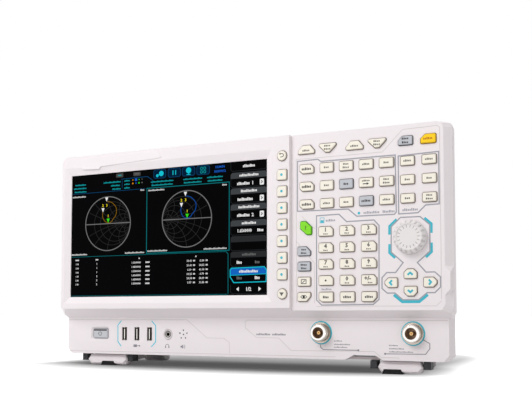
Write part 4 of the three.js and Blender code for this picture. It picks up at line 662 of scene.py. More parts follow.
class ANALYZER_OT_metalwork(bpy.types.Operator):
    """Gives the connectors, sockets and inner pieces their metals, plastics and boards"""

    bl_idname = "analyzer.metalwork"
    bl_label = "Connectors and inner pieces"

    def execute(self, context):
        steel = plated_metal("zinc_plated_steel", linear("#B4B7BA"), 0.34, 3.0)
        gold = plated_metal("gold_plated_pin", linear("#D9B27A"), 0.25, 1.0)
        black = dark_plastic("black_glass_filled_pbt", linear("#24262A"))
        floors = [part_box("rear_socket_bracket")[0].y + FLOOR_DEPTH]
        shell, lining = linear("#B9B6B1"), linear("#16171A")
        gloss, grit = (0.22, 0.4), (2.0, 0.12, 0.2)
        bracket = lined_steel("nickel_socket_bracket", shell, lining, "Y", floors, FLOOR_HALF, gloss, grit)
        dress(["rear_socket_bracket"], bracket)
        # Painted light on the ports: the barrel's duller colour stands partly for dark reflections, and the
        # bore's brown partly for shade.
        bright, barrel_tone_and_reflection, bore_tarnish_and_shade = linear("#F2EEEA"), linear("#BDB3A9"), linear("#9A7C60")
        dress(PORTS, port_metal("white_bronze_port", bright, barrel_tone_and_reflection, bore_tarnish_and_shade, PORTS, BORE_RADIUS))
        dress(["port_1_contact", "port_2_contact"], gold)
        dress(["rotary_encoder", "chassis_tray", "power_supply"], steel)
        dress(["rf_module"], milled_aluminium("milled_aluminium_case", linear("#A6A9AB")))
        dress(["power_inlet", "fan_frame", "fan_rotor", "speaker", "lcd_module"], black)
        dress(["keypad_board", "main_board"], circuit_board("green_circuit_board", linear("#1F5A3A")))
        dress(["touch_glass"], cover_glass("coated_touch_glass"))
        sockets = [f"usb_port_{i}" for i in (1, 2, 3)]
        tongues = [middle(name)[0] / 1000 + TONGUE_SHIFT for name in sockets]
        # Painted shade: the data sockets' shells are dark brown, standing for the shade inside their
        # openings.
        shell, lining = linear("#42382F"), linear("#F4F1EA")
        gloss, grit = (0.25, 0.4), (1.5, 0.1, 0.15)
        nickel = lined_steel("shaded_nickel_socket_shell", shell, lining, "X", tongues, TONGUE_HALF, gloss, grit)
        dress(sockets, nickel)
        # Painted shade: the black core stands partly for the shade in the socket's hole.
        rim, core, sleeve = linear("#E6E0E1"), linear("#0C0C0E"), linear("#C9C4BE")
        jack = ringed_socket("earphone_socket_plastic", rim, core, sleeve, "earphone_jack", CORE_RADIUS)
        dress(["earphone_jack"], jack)
        return {"FINISHED"}


# Printed panel

# Widths in millimetres: the painted shade lines along the fine moulded ridges, and the accent bands beside
# and under the knob.
FINE_LINE = 0.5
SIDE_BAND, LOWER_BAND = 2.2, 2.6
# The accent ring round each port: the radius of its middle line and its width.
PORT_RING_RADIUS, PORT_RING_WIDTH = 9.7, 1.8
# The speaker's holes: the radius of each and of the circle that they stand on.
HOLE_RADIUS, HOLE_CIRCLE = 0.78, 4.15


def framed_areas():
    """The printed frames round the groups of keys, as measured on the key panel."""
    analyzer = [
        (65.9, 191.2), (85.7, 191.5), (88.3, 189.4), (156.9, 189.4), (157.4, 139.9),
        (155.7, 138.0), (121.9, 138.1), (114.1, 144.8), (65.8, 145.5),
    ]
    system = [
        (159.5, 188.3), (194.3, 189.3), (194.3, 144.8), (182.8, 144.5), (176.2, 138.3), (159.5, 138.1),
    ]
    entry = [
        (84.2, 140.4), (105.4, 140.7), (112.5, 133.8), (137.5, 134.0), (142.0, 129.0),
        (141.5, 65.0), (136.3, 60.6), (88.8, 60.3), (84.0, 64.9),
    ]
    knob = [
        (161.0, 135.0), (177.9, 134.9), (186.1, 127.7), (186.0, 105.2), (175.2, 95.9), (182.5, 87.6),
        (189.8, 87.7), (194.6, 83.4), (194.5, 74.8), (189.8, 70.3), (183.2, 70.3), (176.1, 64.5),
        (162.3, 64.5), (155.6, 70.3), (148.8, 70.3), (144.2, 74.3), (144.3, 83.6), (148.5, 88.0),
        (156.3, 87.8), (162.9, 96.2), (152.6, 105.4), (152.8, 127.4),
    ]
    return [analyzer, system, entry, knob]


def accent_bands():
    """The accent bands that hug the knob's frame."""
    return [
        [(157.6, 133.6), (151.3, 127.9), (151.2, 120.6)],
        [(181.6, 133.6), (187.5, 128.3), (187.4, 120.6)],
        [(151.2, 112.4), (151.1, 104.9), (156.0, 100.3)],
        [(187.4, 112.4), (187.4, 104.7), (182.5, 100.2)],
        [(154.6, 68.8), (161.9, 62.9), (176.5, 62.9), (183.8, 68.8)],
    ]


def ridge_shade_lines():
    """Painted shade lines along the fine moulded ridges of the key panel and of the lower panel."""
    keys = [
        [(64.6, 62.5), (64.6, 193.0), (145.5, 193.0), (163.5, 211.0), (193.5, 211.6), (195.3, 209.8),
         (195.3, 65.0)],
        [(82.4, 128.8), (70.0, 140.6)],
        [(82.0, 62.0), (82.0, 98.0), (64.6, 118.0)],
        [(84.0, 59.2), (191.0, 59.2), (195.3, 63.4)],
    ]
    lower = [
        [(-197.8, 46.5), (-55.5, 46.8), (-33.1, 29.4), (-14.7, 29.3), (-8.9, 25.4), (-8.5, 15.2)],
        [(198.0, 46.9), (9.8, 46.7), (7.9, 45.3), (8.2, 39.4), (19.5, 30.6), (42.4, 30.2), (54.7, 19.0),
         (133.7, 19.6), (140.0, 14.6), (156.0, 14.4)],
        [(-199.0, 14.2), (98.0, 14.2)],
    ]
    return keys, lower


class ANALYZER_OT_panel_lines(bpy.types.Operator):
    """Prints the frames and accent bands on the key panel, and painted shade lines along the moulded ridges
    """

    bl_idname = "analyzer.panel_lines"
    bl_label = "Panel lines"

    def execute(self, context):
        chosen = settings("print")
        width = chosen.line_width * 1000
        grey = printing_ink("grey_screen_print", chosen.line)
        accent = printing_ink("accent_screen_print", chosen.accent)
        # Painted shade: the moulded ridges show as flat lines of a darker plastic colour.
        relief = moulded_plastic("moulded_ridge_shade", linear("#D5CECE"), 0.55, edge=0.2)
        lay("panel_frames", strips(framed_areas(), width, closed=True), KEY_PANEL, grey, "key_grey")
        *sides, below = accent_bands()
        bands = strips(sides, SIDE_BAND) + strip(below, LOWER_BAND)
        icon = strip([(87.6, 133.8), (91.4, 133.8), (91.4, 138.3), (87.6, 138.3)], 0.5, closed=True)
        icon += bar(89.5, 135.1, 2.9, 2.2) + discs((123.9, 140.7), radius=1.25)
        lay("panel_accents", bands + icon, KEY_PANEL, accent, "screen_glass", lift=0.03)
        captions = words(
            (135.2, 140.9, 14.5, 2.3), (150.6, 140.9, 11.0, 2.3), (169.4, 141.4, 13.6, 2.3),
            (97.4, 135.8, 9.2, 2.2), (93.4, 74.4, 9.6, 1.8),
        )
        lay("panel_captions", captions, KEY_PANEL, grey, "key_grey")
        upper, lower = ridge_shade_lines()
        lay("panel_relief", strips(upper, FINE_LINE), KEY_PANEL, relief, "housing_white", lift=0.02)
        lay("lower_relief", strips(lower, FINE_LINE), LOWER_PANEL, relief, "housing_white", lift=0.02)
        return {"FINISHED"}


class ANALYZER_OT_lower_prints(bpy.types.Operator):
    """Prints the rings, brackets, leader lines and signs of the lower panel"""

    bl_idname = "analyzer.lower_prints"
    bl_label = "Lower panel prints"

    def execute(self, context):
        chosen = settings("print")
        grey = printing_ink("grey_screen_print_lower", linear("#8B8A92"))
        # Painted light: the lower panel's accent is the same ink made 1.2 times brighter.
        accent = printing_ink("accent_screen_print_lower", opaque(chosen.accent, 1.2))
        left = [(-132.3, 45.7), (-136.5, 41.0), (-136.3, 24.5), (-132.3, 19.7)]
        right = [(-96.0, 45.6), (-91.3, 40.8), (-91.2, 24.7), (-96.1, 19.6)]
        bands = strips([left, right], 1.0)
        for name in PORTS:
            bands += ring(*middle(name), PORT_RING_RADIUS, PORT_RING_WIDTH)
        lay("lower_accents", bands, LOWER_PANEL, accent, "screen_glass")
        leads = strip([(83.6, 24.6), (83.6, 22.5), (86.1, 20.4), (118.6, 20.4)], 0.7)
        leads += discs((119.1, 20.4), (143.4, 17.8), radius=0.9)
        leads += strip([(177.0, 30.4), (182.5, 27.2), (182.5, 22.9), (178.9, 18.1), (143.8, 17.8)], 0.7)
        rows = [(100.2, 28.4, 7.8), (104.0, 25.3, 15.2), (102.6, 22.8, 12.6)]
        rows += [(150.9, 25.2, 8.0), (153.6, 22.4, 13.4), (157.6, 19.7, 21.4)]
        leads += words(*((*row, 1.1) for row in rows), step=SMALL_STEP)
        leads += words((26.6, 33.6, 14.4, 1.9), (42.6, 33.6, 13.8, 1.9))
        lay("lower_leads", leads, LOWER_PANEL, grey, "key_grey")
        lay("lower_signs", self.signs(), LOWER_PANEL, grey, "key_grey")
        # Painted shade: black discs lie just inside the speaker's holes, so that the holes read dark.
        black = printing_ink("black_speaker_hole_shade", linear("#15110F"), 0.8)
        x, z = middle("speaker")
        hole_shade = discs((x, z), *arc(x, z, HOLE_CIRCLE, 90, 378, 4), radius=HOLE_RADIUS, steps=12)
        lay("speaker_cloth", hole_shade, LOWER_PANEL + 0.0004, black, "dark_plastic", lift=0.1)
        return {"FINISHED"}

    def signs(self):
        """A data plug, an earphone and a loudspeaker, as plain outline signs."""
        x, z = middle("usb_port_2")[0], 20.5
        plug = bar(x - 1.6, z, 3.4, 2.6) + bar(x + 1.3, z, 2.6, 0.7) + discs((x + 3.2, z), radius=0.8)
        plug += bar(x - 3.9, z + 0.6, 1.3, 0.6) + bar(x - 3.9, z - 0.6, 1.3, 0.6)
        x = middle("earphone_jack")[0] - 0.6
        ear = strip(arc(x, z + 0.2, 1.9, 0, 180, 12), 0.55)
        ear += bar(x - 1.9, z - 0.6, 1.1, 1.9) + bar(x + 1.9, z - 0.6, 1.1, 1.9)
        x = middle("speaker")[0] - 0.8
        horn = bar(x - 1.7, z, 1.2, 1.6)
        horn += polygon((x - 1.2, z - 0.8), (x + 0.5, z - 2.1), (x + 0.5, z + 2.1), (x - 1.2, z + 0.8))
        horn += strips([arc(x + 0.2, z, radius, -50, 50, 8) for radius in (1.5, 2.5)], 0.4)
        return plug + ear + horn


# Key marks

# Stand-ins for the words on the keys: each row is its rise from the key's middle, its width and its height.
SINGLE_WORD = [(0.0, 6.8, 1.8)]
SHORT_WORD = [(0.0, 4.8, 1.8)]
TWO_WORDS = [(1.55, 5.2, 1.6), (-1.5, 6.2, 1.6)]
BOLD_WORD = [(0.0, 9.2, 2.5)]
SETUP_WORDS = [(1.7, 6.0, 1.6), (-1.2, 6.4, 1.6)]

GRID_X = (94.4, 112.68, 130.96, 149.24)
SYSTEM_X = (167.7, 186.4)
GRID_Z = (183.4, 167.26, 151.12)
ENTRY_X = (93.4, 113.2, 133.0)
ENTRY_Z = (125.92, 111.29, 96.66, 82.03, 67.4)


def worded(x, z, rows):
    """Stand-ins for the words on a key whose middle is there."""
    return words(*((x, z + rise, width, height) for rise, width, height in rows))


class ANALYZER_OT_key_marks(bpy.types.Operator):
    """Prints the figures, arrows and plain marks on the keys"""

    bl_idname = "analyzer.key_marks"
    bl_label = "Key marks"

    def execute(self, context):
        chosen = settings("print")
        self.ink = printing_ink("brown_key_print", chosen.mark)
        self.dark = printing_ink("black_key_print", linear("#2E2C2B"))
        self.accent = printing_ink("accent_key_print", chosen.accent)
        self.print_keypad()
        self.print_single_keys()
        return {"FINISHED"}

    def print_keypad(self):
        """Marks the keys of the shared silicone sheet."""
        captions = [
            [SHORT_WORD, TWO_WORDS, SINGLE_WORD, SHORT_WORD, SINGLE_WORD, SINGLE_WORD],
            [SHORT_WORD, [], [(1.5, 7.2, 1.6)], TWO_WORDS, SHORT_WORD, SHORT_WORD],
            [SINGLE_WORD, SHORT_WORD, [], SINGLE_WORD, SHORT_WORD, TWO_WORDS],
        ]
        marks = []
        for z, row in zip(GRID_Z, captions):
            for x, rows in zip(GRID_X + SYSTEM_X, row):
                marks += worded(x, z, rows)
        bold = worded(GRID_X[1], GRID_Z[1], [(0.0, 4.6, 2.2)])
        bold += worded(GRID_X[2], GRID_Z[2], [(0.0, 8.4, 2.1)])
        x, z = GRID_X[2], GRID_Z[1] - 1.3
        bold += bar(x - 0.8, z, 3.6, 0.8)
        bold += polygon((x + 0.8, z - 1.1), (x + 3.0, z), (x + 0.8, z + 1.1))
        for i, sign in enumerate([*"123456789.0", "+/-"]):
            x, z = ENTRY_X[i % 3], ENTRY_Z[i // 3]
            if sign == ".":
                bold += discs((x, z), radius=0.85, steps=12)
                continue
            left, right = (1.0, 1.2) if sign == "+/-" else (0, 0)
            marks += figures(sign, x - left, z + 1.5, 3.5, weight=0.04)
            marks += words((x + right, z - 2.3, 4.4, 1.3))
        bold += words(*((x, ENTRY_Z[-1], width, 2.2) for x, width in zip(ENTRY_X, (5.6, 7.4, 7.4))))
        lay("keypad_marks", marks, KEY_FACE, self.ink, "dark_plastic")
        lay("keypad_bold_marks", bold, KEY_FACE, self.dark, "dark_plastic")

    def mark(self, key, shapes, finish):
        """Lays shapes on the face of a key, to move with it."""
        lay(f"{key}_mark", shapes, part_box(key)[0].y, finish, "dark_plastic", body=f"{key}_body")

    def print_single_keys(self):
        """Marks the keys that move one by one."""
        for key in MENU_KEYS:
            self.mark(key, discs(middle(key), radius=1.25, steps=16), self.accent)
        amber = printing_ink("amber_key_print", linear("#B96A1E"))
        captions = {
            "mode_key": (self.ink, [(-0.9, 7.0, 1.8)]),
            "mode_setup_key": (self.ink, SETUP_WORDS),
            "measure_key": (self.ink, [(-0.7, 7.4, 1.8)]),
            "measure_setup_key": (self.ink, SETUP_WORDS),
            "preset_key": (amber, [(0.0, 8.0, 2.0)]),
            "function_key_1": (self.dark, BOLD_WORD),
            "function_key_2": (self.dark, BOLD_WORD),
            "function_key_3": (self.dark, BOLD_WORD),
            "tune_key": (self.dark, [(1.6, 6.2, 1.9), (-1.7, 5.8, 1.9)]),
            "left_key_1": (self.dark, [(1.5, 4.8, 1.7), (-1.6, 5.4, 1.7)]),
            "left_key_2": (self.dark, [(1.5, 6.2, 1.7), (-1.6, 5.4, 1.7)]),
        }
        for key, (finish, rows) in captions.items():
            self.mark(key, worded(*middle(key), rows), finish)
        x, z = middle("left_key_3")
        window = [(x + side * 2.3, z + rise * 1.8) for side, rise in ((-1, -1), (1, -1), (1, 1), (-1, 1))]
        slash = [(x - 1.4, z - 1.0), (x + 1.4, z + 1.0)]
        self.mark("left_key_3", strip(window, 0.6, closed=True) + strip(slash, 0.6), self.dark)
        x, z = middle("left_key_4")
        lids = ((-2.9, 0), (-1.5, -1.3), (1.5, -1.3), (2.9, 0), (1.5, 1.3), (-1.5, 1.3))
        eye = strip([(x + px, z + pz) for px, pz in lids], 0.5, closed=True)
        self.mark("left_key_4", eye + discs((x, z), radius=1.2, steps=12), self.dark)
        self.mark("help_key", figures("?", *middle("help_key"), 3.4), self.dark)
        x, z = middle("return_key")
        bend = arc(x + 0.6, z + 0.2, 1.5, -90, 90, 8)
        back = strip([(x - 1.2, z - 1.3), *bend, (x - 1.0, z + 1.7)], 0.7)
        back += polygon((x - 2.6, z + 1.7), (x - 0.9, z + 0.5), (x - 0.9, z + 2.9))
        self.mark("return_key", back, self.ink)
        x, z = middle("page_key")
        self.mark("page_key", polygon((x, z - 1.9), (x + 2.2, z + 1.3), (x - 2.2, z + 1.3)), self.ink)
        x, z = middle("power_button")
        sign = strip(arc(x, z, 1.9, 125, 415, 20), 0.5) + bar(x, z + 1.7, 0.5, 2.0)
        # Painted shadow: a dark band along the button's top and a thin dark line down its left side, where
        # the recess would shade it.
        sign += bar(x, z + 3.55, 16.4, 1.4) + bar(x - 8.1, z - 0.4, 0.35, 6.6)
        self.mark("power_button", sign, self.dark)
        for side, (right, up) in {"up": (0, 1), "left": (-1, 0), "down": (0, -1), "right": (1, 0)}.items():
            key = f"arrow_{side}_key"
            x, z = middle(key)
            tip = ((-2.2, -1.0), (0.0, 0.9), (2.2, -1.0))
            bent = [(x + px * up + pz * right, z - px * right + pz * up) for px, pz in tip]
            self.mark(key, strip(bent, 1.7), self.accent)


# Screen picture

CHART_R = 27.5
CHARTS = {"left": (-142.4, 144.2), "right": (-50.0, 144.5)}
MENU_MIDDLE = 16.6
POINTER_HALVES = (1.785, 2.1)  # half the width and half the height of a marker on a trace
LAYER_RISE = 0.03  # from each layer of the picture to the next


def clipped(points, centre, radius):
    """The runs of a line of points that lie inside a circle."""
    runs, run = [], []
    for x, z in points:
        if math.hypot(x - centre[0], z - centre[1]) < radius:
            run.append((x, z))
            continue
        if len(run) > 1:
            runs.append(run)
        run = []
    if len(run) > 1:
        runs.append(run)
    return runs


def impedance_grid(centre, side):
    """Arcs of equal resistance and reactance, which gather at one side of the circle."""
    shapes = []
    x, z = centre
    for share in (0.25, 0.5, 1.0, 2.0, 4.0):
        radius = CHART_R / (1 + share)
        shapes += strip(arc(x + side * (CHART_R - radius), z, radius, 0, 360, 40)[:-1], 0.4, closed=True)
    for share in (0.25, 0.5, 1.0, 2.0, 4.0):
        radius = CHART_R / share
        for up in (1, -1):
            circle = arc(x + side * CHART_R, z + up * radius, radius, 0, 360, 240)
            start = min(range(240), key=lambda i: -math.hypot(circle[i][0] - x, circle[i][1] - z))
            turned = circle[start:-1] + circle[: start + 1]
            for run in clipped(turned, centre, CHART_R - 0.3):
                shapes += strip(run, 0.4)
    return shapes


def smooth(points):
    """Cuts the corners of a line of points twice, so that it runs evenly."""
    for _ in range(2):
        made = [points[0]]
        for (ax, az), (bx, bz) in zip(points, points[1:]):
            made.append((ax * 0.75 + bx * 0.25, az * 0.75 + bz * 0.25))
            made.append((ax * 0.25 + bx * 0.75, az * 0.25 + bz * 0.75))
        points = made + [points[-1]]
    return points


def pointer(x, z):
    """A marker that points down."""
    low, high = z - POINTER_HALVES[1], z + POINTER_HALVES[1]
    return polygon((x, low), (x + POINTER_HALVES[0], high), (x - POINTER_HALVES[0], high))


def draw_menu(drawn):
    """The column of soft menu boxes at the right of the picture."""
    for z in (182.6, 167.7, 152.6, 137.4, 122.5, 108.0):
        colour = "header" if z > 130 else "header_low"
        drawn[colour] += cut_bar(MENU_MIDDLE, z, 37.4, 5.6, 1.6, "cd")
    boxes = [
        (195.4, 187.0), (180.0, 171.6), (165.2, 156.6), (150.0, 141.4),
        (134.8, 126.4), (119.8, 111.8), (105.2, 97.0), (79.6, 71.4),
    ]
    for top, bottom in boxes:
        foot = [(-2.0, bottom + 1.6), (-0.4, bottom), (33.6, bottom), (35.2, bottom + 1.6)]
        drawn["edge"] += strip([(-2.0, top), *foot, (35.2, top)], 0.5)
    drawn["white"] += words(
        (17.0, 191.3, 12.6, 2.6), (17.0, 182.6, 20.0, 2.5), (17.0, 167.7, 17.0, 2.5),
        (17.0, 152.6, 22.0, 2.5), (17.0, 137.4, 15.0, 2.5), (11.2, 174.9, 13.2, 2.9),
        (13.0, 159.9, 16.0, 2.9), (11.2, 144.9, 13.2, 2.9), (28.8, 130.3, 6.4, 2.7),
        (7.0, 100.7, 5.6, 2.8), (25.6, 86.1, 5.2, 2.9), (16.6, 92.2, 19.5, 2.5),
    )
    drawn["dim"] += words((17.0, 108.0, 14.5, 2.4), (25.6, 100.7, 5.0, 2.8), (7.0, 86.1, 5.6, 2.8))
    drawn["white"] += figures("1", 21.0, 174.9, 3.1) + figures("2", 21.0, 144.9, 3.1)
    drawn["white"] += figures("1.6560000", 12.4, 130.3, 2.9, squeeze=0.86) + figures("1/2", 16.6, 75.6, 3.2)
    for z in (175.1, 160.1, 145.2):
        drawn["white"] += cut_bar(30.4, z, 4.2, 5.6, 0.6)
        drawn["black"] += strip([(29.6, z - 1.3), (31.0, z), (29.6, z + 1.3)], 0.7)
    chosen = [(-2.2, 88.6), (34.8, 89.4), (34.8, 93.2), (33.0, 95.4), (-0.9, 94.9), (-2.2, 93.4)]
    drawn["blue"] += polygon(*chosen)
    glow = [(-2.4, 93.6), (-1.1, 95.3), (32.9, 95.9), (35.2, 93.0), (34.6, 82.2), (1.3, 81.7), (-2.4, 87.1)]
    drawn["cyan"] += strip(glow, 0.8, closed=True) + strip([(-2.4, 88.6), (34.8, 89.4)], 0.5)
    drawn["white"] += polygon((4.0, 75.6), (6.6, 73.6), (6.6, 77.6))
    drawn["white"] += polygon((29.6, 75.6), (27.0, 77.6), (27.0, 73.6))


def draw_status(drawn):
    """The strip of states and icons along the top of the picture."""
    for x in (-80.8, -64.1, -48.0, -31.9):
        tile = cut_bar(x, 190.7, 14.0, 8.6, 1.4)
        drawn["navy"] += tile
        drawn["tile"] += strips(tile, 0.4, closed=True)
    drawn["cyan"] += discs((-79.0, 190.9), radius=2.7) + discs((-83.6, 189.0), radius=1.5)
    drawn["cyan"] += strip([(-83.6, 189.0), (-79.0, 190.9)], 0.7) + figures("11", -64.1, 190.7, 4.2)
    drawn["cyan"] += discs((-48.0, 191.6), radius=2.9) + bar(-48.0, 187.6, 4.4, 0.7)
    drawn["cyan"] += bar(-48.0, 188.6, 0.8, 1.6)
    for x, z in ((-33.6, 192.4), (-30.2, 192.4), (-33.6, 189.0), (-30.2, 189.0)):
        drawn["teal"] += ring(x, z, 1.25, 0.5, 16)
    drawn["sky"] += figures("12:34:56", -13.6, 192.6, 2.1)
    drawn["sky"] += figures("2020/10/12", -13.6, 188.4, 2.1, squeeze=0.9)
    for x in (-128.4, -107.6):
        drawn["button"] += cut_bar(x, 192.6, 8.6, 4.0, 0.7)
    drawn["teal"] += bar(-128.4, 192.6, 4.0, 1.0)
    drawn["dim"] += bar(-107.6, 192.6, 5.0, 1.0)
    rows = [
        (-177.0, 186.0, 13.5), (-177.6, 182.4, 16.0), (-177.0, 178.8, 15.0),
        (-137.6, 186.3, 21.0), (-133.4, 182.7, 11.0), (-132.0, 179.1, 10.0),
        (-119.4, 186.6, 6.6), (-119.4, 183.1, 6.6), (-119.4, 179.4, 6.6),
    ]
    for x, width in ((-78.0, 26.0), (-43.4, 21.0), (-19.0, 17.0)):
        rows += [(x, 183.2, width), (x, 179.8, width * 0.94)]
    drawn["teal"] += words(*((*row, 1.5) for row in rows), step=SMALL_STEP)
    lights = [
        ("orange", -112.4, 186.8, 0.6), ("orange", -112.4, 183.3, 0.8), ("sky", -108.6, 183.4, 0.7),
        ("green", -105.0, 183.4, 0.8), ("green", -105.0, 186.9, 0.5), ("dim", -101.4, 183.5, 0.7),
        ("dim", -101.4, 187.0, 0.5),
    ]
    for colour, x, z, radius in lights:
        drawn[colour] += discs((x, z), radius=radius, steps=8)
    drawn["sky"] += bar(-108.6, 186.9, 2.6, 2.4)
    outline = [(-126.5, 188.6), (-95.2, 189.1), (-89.4, 185.2), (-89.2, 180.2)]
    drawn["tile"] += strip(outline, 0.5) + strip([(-187.5, 176.9), (-97.6, 177.1)], 0.4)
    drawn["tile"] += bar(-125.2, 183.2, 0.4, 8.0)


def draw_charts(drawn):
    """The two round charts with their grids, traces and markers."""
    for side, (x, z) in CHARTS.items():
        drawn["circle"] += ring(x, z, CHART_R, 0.9, 72) + bar(x, z, 2 * CHART_R, 0.8)
        drawn["grid"] += impedance_grid((x, z), 1 if side == "left" else -1)
    amber = [
        (-143.4, 166.8), (-139.5, 166.4), (-136.4, 164.9), (-132.6, 161.0), (-131.5, 157.5), (-132.5, 151.7),
        (-136.2, 148.6), (-137.0, 146.4), (-140.9, 144.4), (-145.6, 146.2), (-148.6, 150.2), (-149.0, 154.0),
        (-148.2, 158.1),
    ]
    drawn["amber"] += strip(smooth(amber), 0.6)
    royal = [
        (-51.0, 166.8), (-47.5, 166.4), (-44.0, 164.6), (-40.4, 161.0), (-39.2, 157.4), (-40.2, 152.1),
        (-43.8, 149.0), (-44.9, 146.8), (-48.6, 144.8), (-53.7, 146.1), (-56.2, 150.5), (-56.5, 154.5),
        (-55.7, 157.6),
    ]
    drawn["royal"] += strip(smooth(royal), 0.65)
    for dx, top in ((0.0, 169.0), (92.6, 168.8)):
        drawn["white"] += pointer(-144.0 + dx, top) + pointer(-148.4 + dx, 158.2)
        drawn["green"] += pointer(-141.9 + dx, 147.2)
        drawn["yellow"] += figures("2", -148.4 + dx, 163.0, 2.6) + figures("3", -143.7 + dx, 163.0, 2.6)
        drawn["yellow"] += figures("1", -141.9 + dx, 152.0, 2.6)
    drawn["frame"] += strip([(-95.6, 112.4), (-3.6, 112.4), (-3.6, 177.2), (-95.6, 177.2)], 0.65, closed=True)
    drawn["frame"] += strip([(-187.6, 111.2), (-6.8, 111.3)], 0.35)
    drawn["frame"] += strip([(-6.8, 111.3), (-4.7, 108.8), (-4.6, 71.6)], 0.5)
    drawn["frame"] += strip([(-187.4, 70.9), (-4.6, 70.9)], 0.4)
    labels = [(-178.6, 173.6, 17.0), (-101.0, 176.0, 4.6), (-177.6, 113.6, 20.0), (-109.6, 113.6, 23.0)]
    labels += [(-84.6, 174.9, 18.6), (-8.6, 175.0, 5.0), (-83.0, 114.6, 23.0), (-18.6, 114.6, 25.0)]
    drawn["label"] += words(*((*label, 1.6) for label in labels), step=SMALL_STEP)


def draw_table(drawn):
    """The marker table under the charts, with plain figures."""
    shapes = drawn["label"]
    for x, width in ((-180.0, 4.4), (-155.2, 3.2), (-104.0, 1.3), (-39.4, 1.3)):
        shapes += bar(x, 107.7, width, 1.3)
    readings = ["1.6560000", "1.4500000", "1.5000000", "1.6560000", "1.4500000", "1.5000000"]
    values = [
        ("50.41", "-2.34"), ("21.41", "24.52"), ("6.19", "41.90"),
        ("50.25", "-0.79"), ("20.34", "28.09"), ("5.97", "31.80"),
    ]
    for i, z in enumerate((103.6, 99.3, 95.0, 90.9, 86.8, 82.7)):
        shapes += figures("123456"[i % 3], -181.2, z, 1.7) + bar(-179.0, z, 1.3, 1.5)
        shapes += figures("1" if i < 3 else "2", -155.2, z, 1.8)
        shapes += figures(readings[i], -107.6, z, 1.8) + bar(-94.2, z, 4.8, 1.4)
        shapes += figures(values[i][0], -46.6, z, 1.8) + bar(-41.4, z, 2.2, 1.4)
        shapes += figures(values[i][1], -33.0, z, 1.8) + bar(-27.6, z, 2.2, 1.4)


class ANALYZER_OT_screen(bpy.types.Operator):
    """Draws the lit picture of charts, table and menu on the glass"""

    bl_idname = "analyzer.screen"
    bl_label = "Screen picture"

    COLOURS = {
        "header": "#424548", "header_low": "#2B2D2F", "edge": "#24272A", "black": "#0A0A0A",
        "white": "#F2F2F2", "dim": "#6A6A6A", "blue": "#1767C4", "cyan": "#17C6D8", "navy": "#06203A",
        "tile": "#0D4A78",
        "teal": "#12A2A8", "sky": "#1C62D0", "button": "#4A4A4A", "orange": "#F09010", "green": "#35E81C",
        "circle": "#777777", "grid": "#303030", "amber": "#8A6412", "royal": "#0E4DA4", "yellow": "#F0DC18",
        "frame": "#0E7A80", "label": "#D6D6D6",
    }
    # Later layers lie over earlier ones.
    LAYERS = [
        ["navy", "header", "header_low", "blue", "grid", "button"],
        ["edge", "tile", "circle", "frame", "orange"],
        ["amber", "royal", "cyan", "teal", "sky", "dim"],
        ["label", "green", "yellow", "white"],
        ["black"],
    ]

    def execute(self, context):
        drawn = defaultdict(list)
        for draw in (draw_menu, draw_status, draw_charts, draw_table):
            draw(drawn)
        strength = settings("screen").brightness
        for level, colours in enumerate(self.LAYERS):
            lift = LAYER_RISE * (level + 1)
            for colour in colours:
                finish = lit_picture(f"lit_{colour}", linear(self.COLOURS[colour]), strength)
                film = (f"picture_{colour}", drawn[colour], GLASS_FACE, finish, "screen_glass")
                lay(*film, lift=lift, sink=0.0)
        return {"FINISHED"}


# Bare plate, threads, knob marks and screws

# The cover's screws, in millimetres: four at the corners and three along the top.
CORNER_SCREWS_X, CORNER_SCREWS_Z = (-162, 162), (30, 198)
TOP_SCREWS_X, TOP_SCREWS_Z = (-52, 0, 52), 202
# The thread starts so far behind the port's face, and the knob's dish lies so far in it, in metres.
THREAD_START, DISH_DEPTH = 0.0011, 0.0006


class ANALYZER_OT_badge(bpy.types.Operator):
    """Adds the bare raised plate above the screen"""

    bl_idname = "analyzer.badge"
    bl_label = "Bare plate"

    def execute(self, context):
        outline = [
            (-173.4, 212.6), (-175.2, 208.6), (-171.8, 201.2), (-151.4, 200.2), (-149.2, 202.6),
            (-84.2, 205.4), (-76.6, 206.2), (-81.4, 213.6),
        ]
        plate = moulded_plastic("gloss_white_plate", linear("#F0EAEC"), 0.3, edge=0.4, relief=0.05)
        piece = lay("badge_plate", [outline], DISPLAY_FACE, plate, "housing_white", lift=0.5, sink=0.3)
        bevel = piece.modifiers.new("soft edge", "BEVEL")
        bevel.width = 0.0003
        bevel.segments = 3
        return {"FINISHED"}


def new_tree(name, kinds):
    """An empty node tree with a geometry result and the named inputs: name to kind."""
    tree = bpy.data.node_groups.new(name, "GeometryNodeTree")
    tree.interface.new_socket(name="Geometry", in_out="OUTPUT", socket_type="NodeSocketGeometry")
    for key, kind in {"Places": "Geometry", **kinds}.items():
        tree.interface.new_socket(name=key, in_out="INPUT", socket_type="NodeSocket" + kind)
    return tree, add_node(tree, "NodeGroupInput").outputs


def close_tree(tree, geometry, material):
    """Ends a tree with real geometry in that material."""
    real = add_node(tree, "GeometryNodeRealizeInstances", {"Geometry": geometry}).outputs[0]
    dressed = add_node(tree, "GeometryNodeSetMaterial", {"Geometry": real, "Material": material})
    add_node(tree, "NodeGroupOutput", {"Geometry": dressed.outputs[0]})


def grow_piece(name, tree, values, body, places=()):
    """Runs a node tree once and keeps its result as a plain mesh on that body."""
    seed = bpy.data.meshes.new(name + "_seed")
    seed.from_pydata(list(places), [], [])
    holder = linked(name + "_seed", seed)
    modifier = holder.modifiers.new("grow", "NODES")
    modifier.node_group = tree
    for item in tree.interface.items_tree:
        if item.in_out == "INPUT" and item.name in values:
            modifier[item.identifier] = values[item.name]
    dressed = holder.evaluated_get(bpy.context.evaluated_depsgraph_get())
    mesh = bpy.data.meshes.new_from_object(dressed)
    mesh.name = name
    bpy.data.objects.remove(holder)
    bpy.data.meshes.remove(seed)
    return add_piece(name, mesh, body)


